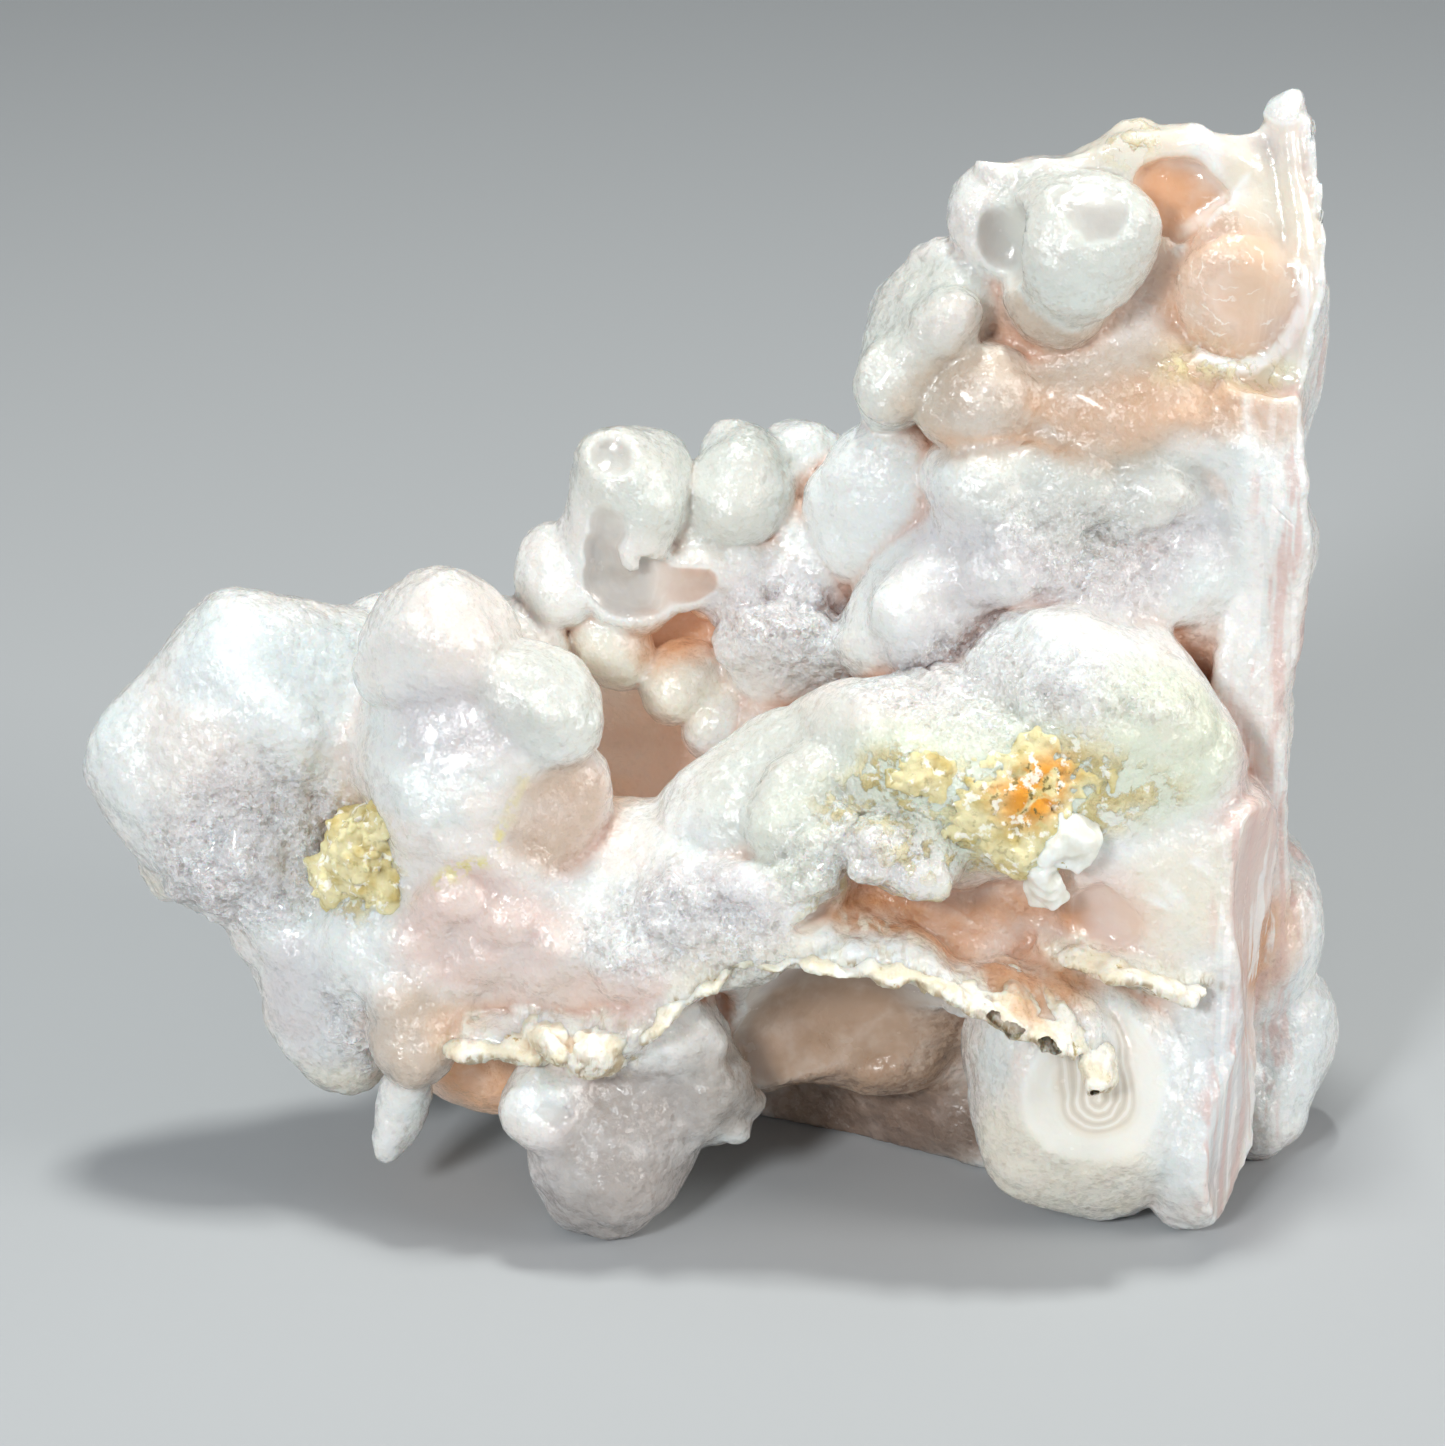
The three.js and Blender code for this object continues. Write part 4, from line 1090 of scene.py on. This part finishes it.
# Colour and strength of each coloured area, laid over one another in this order; the shade area and the
# back sole's front are painted shade and shadow
PAINTS = {
    "cream": ("eee6d2", 0.65),
    "green": ("dfe5d0", 0.85),
    "lilac": ("d3cdd0", 0.6),
    "mist": ("d3d6ce", 0.75),
    "glass": ("bab5b0", 0.8),
    "pink": ("e2bbad", 0.5),
    "beige": ("c0a88f", 0.7),
    "smoke": ("9d938a", 0.75),
    "ice": ("e3ebec", 0.7),
    "peach": ("e6bb98", 0.65),
    "amber": ("cf8f55", 0.8),
    "shade": ("a08063", 0.75),
    "facet": ("c9a692", 0.8),
    # painted shadow on the back sole's front
    "painted_shadow": ("6e5a4e", 0.7),
    "straw": ("e6dc96", 0.85),
    "vein": ("faf9f6", 0.9),
}


def opal_zone_colour(s, place, colour):
    """The piece's own coloured areas laid over, each at its own strength."""
    for name, (code, strength) in PAINTS.items():
        share = s.times(s.mask(name), strength)
        if name in ("glass", "facet"):
            share = s.times(share, s.between(s.mask("depth"), 0.1, 0.24))
        if name == "straw":
            share = s.times(share, s.patches(place, 0.7, 3, 0.42, 0.5))
        colour = s.lay(colour, code, share, s.patches(place, 2.4, 3, 0.2, 0.6, 0.6, 1.0))
    return colour


def agate(s, place, depth):
    """Bands that follow the skin inwards on broken faces: a white rim, then clear grey and peach."""
    level = s.plus(depth, s.wander(place, 1.5, 2, 0.6))
    colour = s.tint(s.between(s.wave(level, 3.1), -0.8, 0.8), "dad1cb", "e9e1d8")
    lines = s.between(s.wave(level, 19.0), 0.2, 0.95, 0.0, 0.35)
    colour = s.lay(colour, "f8f4ee", lines, s.mask("banded"))
    return s.tint(s.between(depth, 0.34, 0.16), colour, "f6f6f3")


def hook_bands(s, place, colour):
    """Agate bands hooked round one line on the right foot's face, clear grey between white, and the
    broad milky band round them."""
    level = s.plus(s.mask("hook"), s.wander(place, 2.6, 1, 0.9))
    wave = s.wave(level, 12.0)
    face = s.between(s.mask("depth"), 0.05, 0.3)
    near = s.times(s.between(level, 2.5, 1.6), face)
    milk = s.times(s.between(level, 2.0, 2.6), s.between(level, 5.6, 5.3))
    colour = s.lay(colour, "d9d2c6", near, 0.5)
    colour = s.lay(colour, "f3f3ec", s.times(milk, face), 0.7)
    colour = s.lay(colour, "c4bbae", near, s.between(wave, -0.2, -0.9, 0.0, 0.35))
    return s.lay(colour, "f8f7f2", near, s.between(wave, 0.2, 0.9, 0.0, 0.55))


def disc_arcs(s, place, colour):
    """Thin white arcs round the top of the peach disc in the tower, broken here and there."""
    wave = s.wave(s.plus(s.mask("disc"), s.wander(place, 1.6, 4, 2.2)), 8.0)
    line = s.times(s.between(wave, 0.8, 1.0), s.between(s.mask("disc"), 4.6, 3.6))
    return s.lay(colour, "fbf6ef", line, s.times(s.patches(place, 1.3, 2, 0.48, 0.6), 0.6))


def layered_strip(s, place, colour):
    """Thin layers along the broken side: pink and white lines that run from foot to tip."""
    layer = s.noise(s.vector("MULTIPLY", place, (1.0, 1.0, 0.07)), 1.3, 3, 0.3)
    inside = s.mask("layers")
    colour = s.lay(colour, "dcb8b0", s.times(inside, s.between(layer, 0.48, 0.6)), 0.6)
    return s.lay(colour, "f8f5f2", s.times(inside, s.between(layer, 0.44, 0.38)), 0.85)


def lip_colour(s, place, colour):
    """Cream white where the skin runs out into the ragged lip; golden brown streaks near it, strongest
    on its underside, where they are painted shade.
    """
    lip = s.mask("lip")
    across = s.vector("MULTIPLY", place, (1.0, 0.35, 0.35))
    colour = s.lay(colour, "f6f2e4", lip, s.times(s.patches(across, 1.0, 4, 0.44, 0.56, warp=0.5), 0.8))
    across = s.vector("MULTIPLY", place, (1.0, 0.4, 0.4))
    # painted shade: the golden brown streaks are strongest on the lip's downward-facing underside
    edge = s.times(lip, s.plus(s.times(s.mask("under"), 1.2), 0.4), True)
    golden_streaks_and_shade = s.times(s.patches(across, 0.45, 4, 0.48, 0.64, warp=0.5), edge)
    return s.lay(colour, "a88b58", golden_streaks_and_shade, 0.75)


def opal_material(stain, grain):
    """Milky opal with its coloured areas, bands and stains, painted shade and a painted glow in places,
    and a sugary druse on its skin with painted glints.
    """
    material, s = new_material("Pink opal")
    place = s.place()
    depth = s.mask("depth")
    broken = s.between(depth, 0.06, 0.22)
    colour = s.lay(opal_skin_colour(s, place), agate(s, place, depth), broken, 0.9)
    colour = opal_zone_colour(s, place, colour)
    colour = layered_strip(s, place, hook_bands(s, place, disc_arcs(s, place, colour)))
    colour = lip_colour(s, place, colour)
    sugar = s.mask("sugar")
    # white specks in the sugary areas: partly white grains of the druse, partly painted glints of its
    # crystals
    cluster = s.times(sugar, s.patches(place, 1.7, 4, 0.42, 0.62, 0.25, 1.0, warp=0.6))
    frost_and_painted_glints = s.times(cluster, s.patches(place, 0.26, 2, 0.5, 0.62), True)
    colour = s.lay(colour, "d8d3d2", sugar, 0.28)
    colour = s.lay(colour, "fdfefe", frost_and_painted_glints, 0.9)
    ochre = s.group(stain, Place=place, Rust=s.mask("rust"))
    smear = s.times(s.mask("ochre"), s.patches(place, 1.0, 5, 0.47, 0.55, 0.0, 0.9), True)
    colour = s.tint(smear, colour, ochre["Color"])

    skin = s.minus(1.0, broken, True)
    rough = s.plus(s.plus(s.times(skin, 0.6), s.times(sugar, 0.8)), 0.3)
    pitted = s.minus(1.0, s.times(s.mask("smooth"), 0.7))
    pimples = s.times(pitted, s.cells(place, 0.8))
    height = s.minus(s.noise(place, 0.6, 5), s.times(pimples, 0.55))
    height = s.plus(s.times(height, rough), s.times(frost_and_painted_glints, 0.4))
    height = s.plus(height, s.times(ochre["Height"], s.times(smear, 1.5)))
    bumpy = s.bump(height, 0.9, 0.22)
    tilt = s.times(skin, s.plus(s.times(sugar, 0.6), 0.3))

    s.surface({
        "Base Color": colour,
        "Roughness": s.plus(s.patches(place, 2.0, 3, 0.3, 0.7, 0.12, 0.28), s.times(smear, 0.4), True),
        "IOR": 1.46,
        "Specular IOR Level": 0.9,
        "Coat Weight": 0.3,
        "Coat Roughness": 0.12,
        # painted glow: warm light emitted in the glow areas
        "Emission Color": s.tint(s.mask("glow"), "000000", "cfa888"),
        "Emission Strength": 0.24,
        "Normal": s.group(grain, Place=place, Normal=bumpy, Size=0.3, Tilt=tilt)["Normal"],
    } | milky(0.6, (1.0, 0.7, 0.55), 1.5))
    return material


def lip_material(stain, grain):
    """Cream white crust with orange patches and ochre stain; golden brown streaks on its underside and
    orange brown in its creases are painted shade.
    """
    material, s = new_material("Ragged lip")
    place = s.place()
    colour = s.tint(s.patches(place, 1.6, 3, 0.4, 0.6), "f4f1e6", "e8dfc8")
    across = s.vector("MULTIPLY", place, (1.0, 0.35, 0.35))
    # painted shade: golden brown streaks on the lip's underside
    golden_streaks_and_shade = s.times(s.patches(across, 0.5, 3, 0.46, 0.6, warp=0.4), s.mask("under"))
    colour = s.lay(colour, "a99064", golden_streaks_and_shade, 0.7)
    # painted shade: orange brown in the lip's creases
    colour = s.lay(colour, "c89c6c", s.mask("crease"), 0.6)
    orange = s.times(s.plus(s.mask("amber"), s.mask("peach"), True), s.patches(place, 2.6, 3, 0.45, 0.6))
    colour = s.lay(colour, "d99c66", orange, 0.6)
    ochre = s.group(stain, Place=place, Rust=0.3)
    colour = s.lay(colour, ochre["Color"], s.patches(place, 1.0, 4, 0.63, 0.7), 0.85)
    height = s.plus(s.noise(place, 0.6, 4), s.times(ochre["Height"], 0.4))
    bumpy = s.bump(height, 0.8, 0.15)
    s.surface({
        "Base Color": colour,
        "Roughness": s.patches(place, 1.2, 2, 0.3, 0.7, 0.25, 0.55),
        "IOR": 1.46,
        "Normal": s.group(grain, Place=place, Normal=bumpy, Size=0.25, Tilt=0.4)["Normal"],
    } | milky(0.5, (1.0, 0.65, 0.45), 0.9))
    return material


def splinter_material():
    """Dense milk white."""
    material, s = new_material("White splinters")
    place = s.place()
    s.surface({
        "Base Color": s.tint(s.patches(place, 1.0, 3, 0.35, 0.65), "f2f5f1", "e4e4da"),
        "Roughness": 0.3,
        "Normal": s.bump(s.noise(place, 0.4, 3), 0.4, 0.06),
    } | milky(0.8, (1.0, 0.8, 0.7), 0.6))
    return material


def rock_material(stain):
    """Dull ochre, darker in its pits."""
    material, s = new_material("Ochre host rock")
    ochre = s.group(stain, Place=s.place(), Rust=s.mask("rust"))
    s.surface({
        "Base Color": s.lay(ochre["Color"], "98834c", s.mask("pit"), 0.45),
        "Roughness": 0.8,
        "Normal": s.bump(ochre["Height"], 0.8, 0.15),
    } | milky(0.3, (1.0, 0.6, 0.3), 0.6))
    return material


def studio_floor():
    """A pale sheet that rises in a quarter circle behind: straight, curve, straight, swept across."""
    reach, back, bend_radius, top = 1.2, 0.5, 0.3, 1.4
    bend = np.linspace(0, math.pi / 2, 13)
    y = np.concatenate([[-reach], back + bend_radius * np.sin(bend), [back + bend_radius]])
    z = np.concatenate([[0.0], bend_radius - bend_radius * np.cos(bend), [top]])
    xs, ys = np.meshgrid(np.linspace(-reach, reach, 3), y, indexing="ij")
    points = np.stack([xs, ys, np.broadcast_to(z, xs.shape)], -1).reshape(-1, 3)
    at = np.arange(xs.size).reshape(xs.shape)
    faces = np.stack([at[:-1, :-1], at[1:, :-1], at[1:, 1:], at[:-1, 1:]], -1).reshape(-1, 4)
    mesh = bpy.data.meshes.new("studio_floor")
    mesh.from_pydata(points.tolist(), [], faces.tolist())
    mesh.shade_smooth()
    floor = bpy.data.objects.new("studio_floor", mesh)
    bpy.context.scene.collection.objects.link(floor)
    material, s = new_material("Pale floor")
    s.surface({"Base Color": "b3b6b8", "Roughness": 0.9})
    mesh.materials.append(material)


def stand(obj, place, target):
    """Puts a lamp or the camera at a place, looking at the target."""
    obj.location = place
    obj.rotation_euler = (Vector(target) - obj.location).to_track_quat("-Z", "Y").to_euler()
    bpy.context.scene.collection.objects.link(obj)


def soft_light(name, place, size, watts, code):
    """A square lamp of that size in metres that looks at the middle of the specimen."""
    light = bpy.data.lights.new(name, "AREA")
    light.energy = watts
    light.size = size
    light.color = tone(code)[:3]
    stand(bpy.data.objects.new(name, light), place, (0, 0, 0.028))


def soft_room():
    """A pale even light from all sides."""
    world = bpy.data.worlds.new("soft room")
    world.use_nodes = True
    sky = world.node_tree.nodes["Background"].inputs
    sky["Color"].default_value = tone("e9eef2")
    sky["Strength"].default_value = 0.32
    bpy.context.scene.world = world


def camera_in_front():
    """The camera at the photograph's angle, in metres and degrees."""
    lift, away = math.radians(22), 0.24
    target = Vector((-CENTRE[0] * MM, -CENTRE[1] * MM, 0.026))
    camera = bpy.data.objects.new("camera", bpy.data.cameras.new("camera"))
    camera.data.lens = 107.55
    camera.data.sensor_width = 36
    stand(camera, target + away * Vector((0, -math.cos(lift), math.sin(lift))), target)
    bpy.context.scene.camera = camera


def studio():
    """A plain pale stage, soft lights and the camera."""
    studio_floor()
    soft_light("key", (0.0, 0.04, 0.45), 0.06, 1.08, "fdfffb")
    soft_light("front fill", (-0.18, -0.38, 0.24), 0.08, 1.3, "fbfdff")
    soft_light("right fill", (0.4, -0.16, 0.2), 0.16, 0.95, "fffaf6")
    soft_room()
    camera_in_front()
    bpy.context.scene.view_settings.view_transform = "Standard"


def finish(piece, node, material):
    """Gives a piece its material and the solid that it stands for."""
    piece.data.materials.append(material)
    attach(piece, "root")
    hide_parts(node)


def main():
    stain = ochre_stain()
    grain = sugar_grain()
    rock = rock_material(stain)
    finish(make_opal(), "opal_body", opal_material(stain, grain))
    finish(make_lip(), "opal_body", lip_material(stain, grain))
    finish(make_flakes(), "opal_body", splinter_material())
    finish(make_rock("crust_crumbly", ROCK_CRUST), "matrix_crust", rock)
    finish(make_rock("crumb_crumbly", ROCK_CRUMB), "matrix_crumb", rock)
    studio()


main()
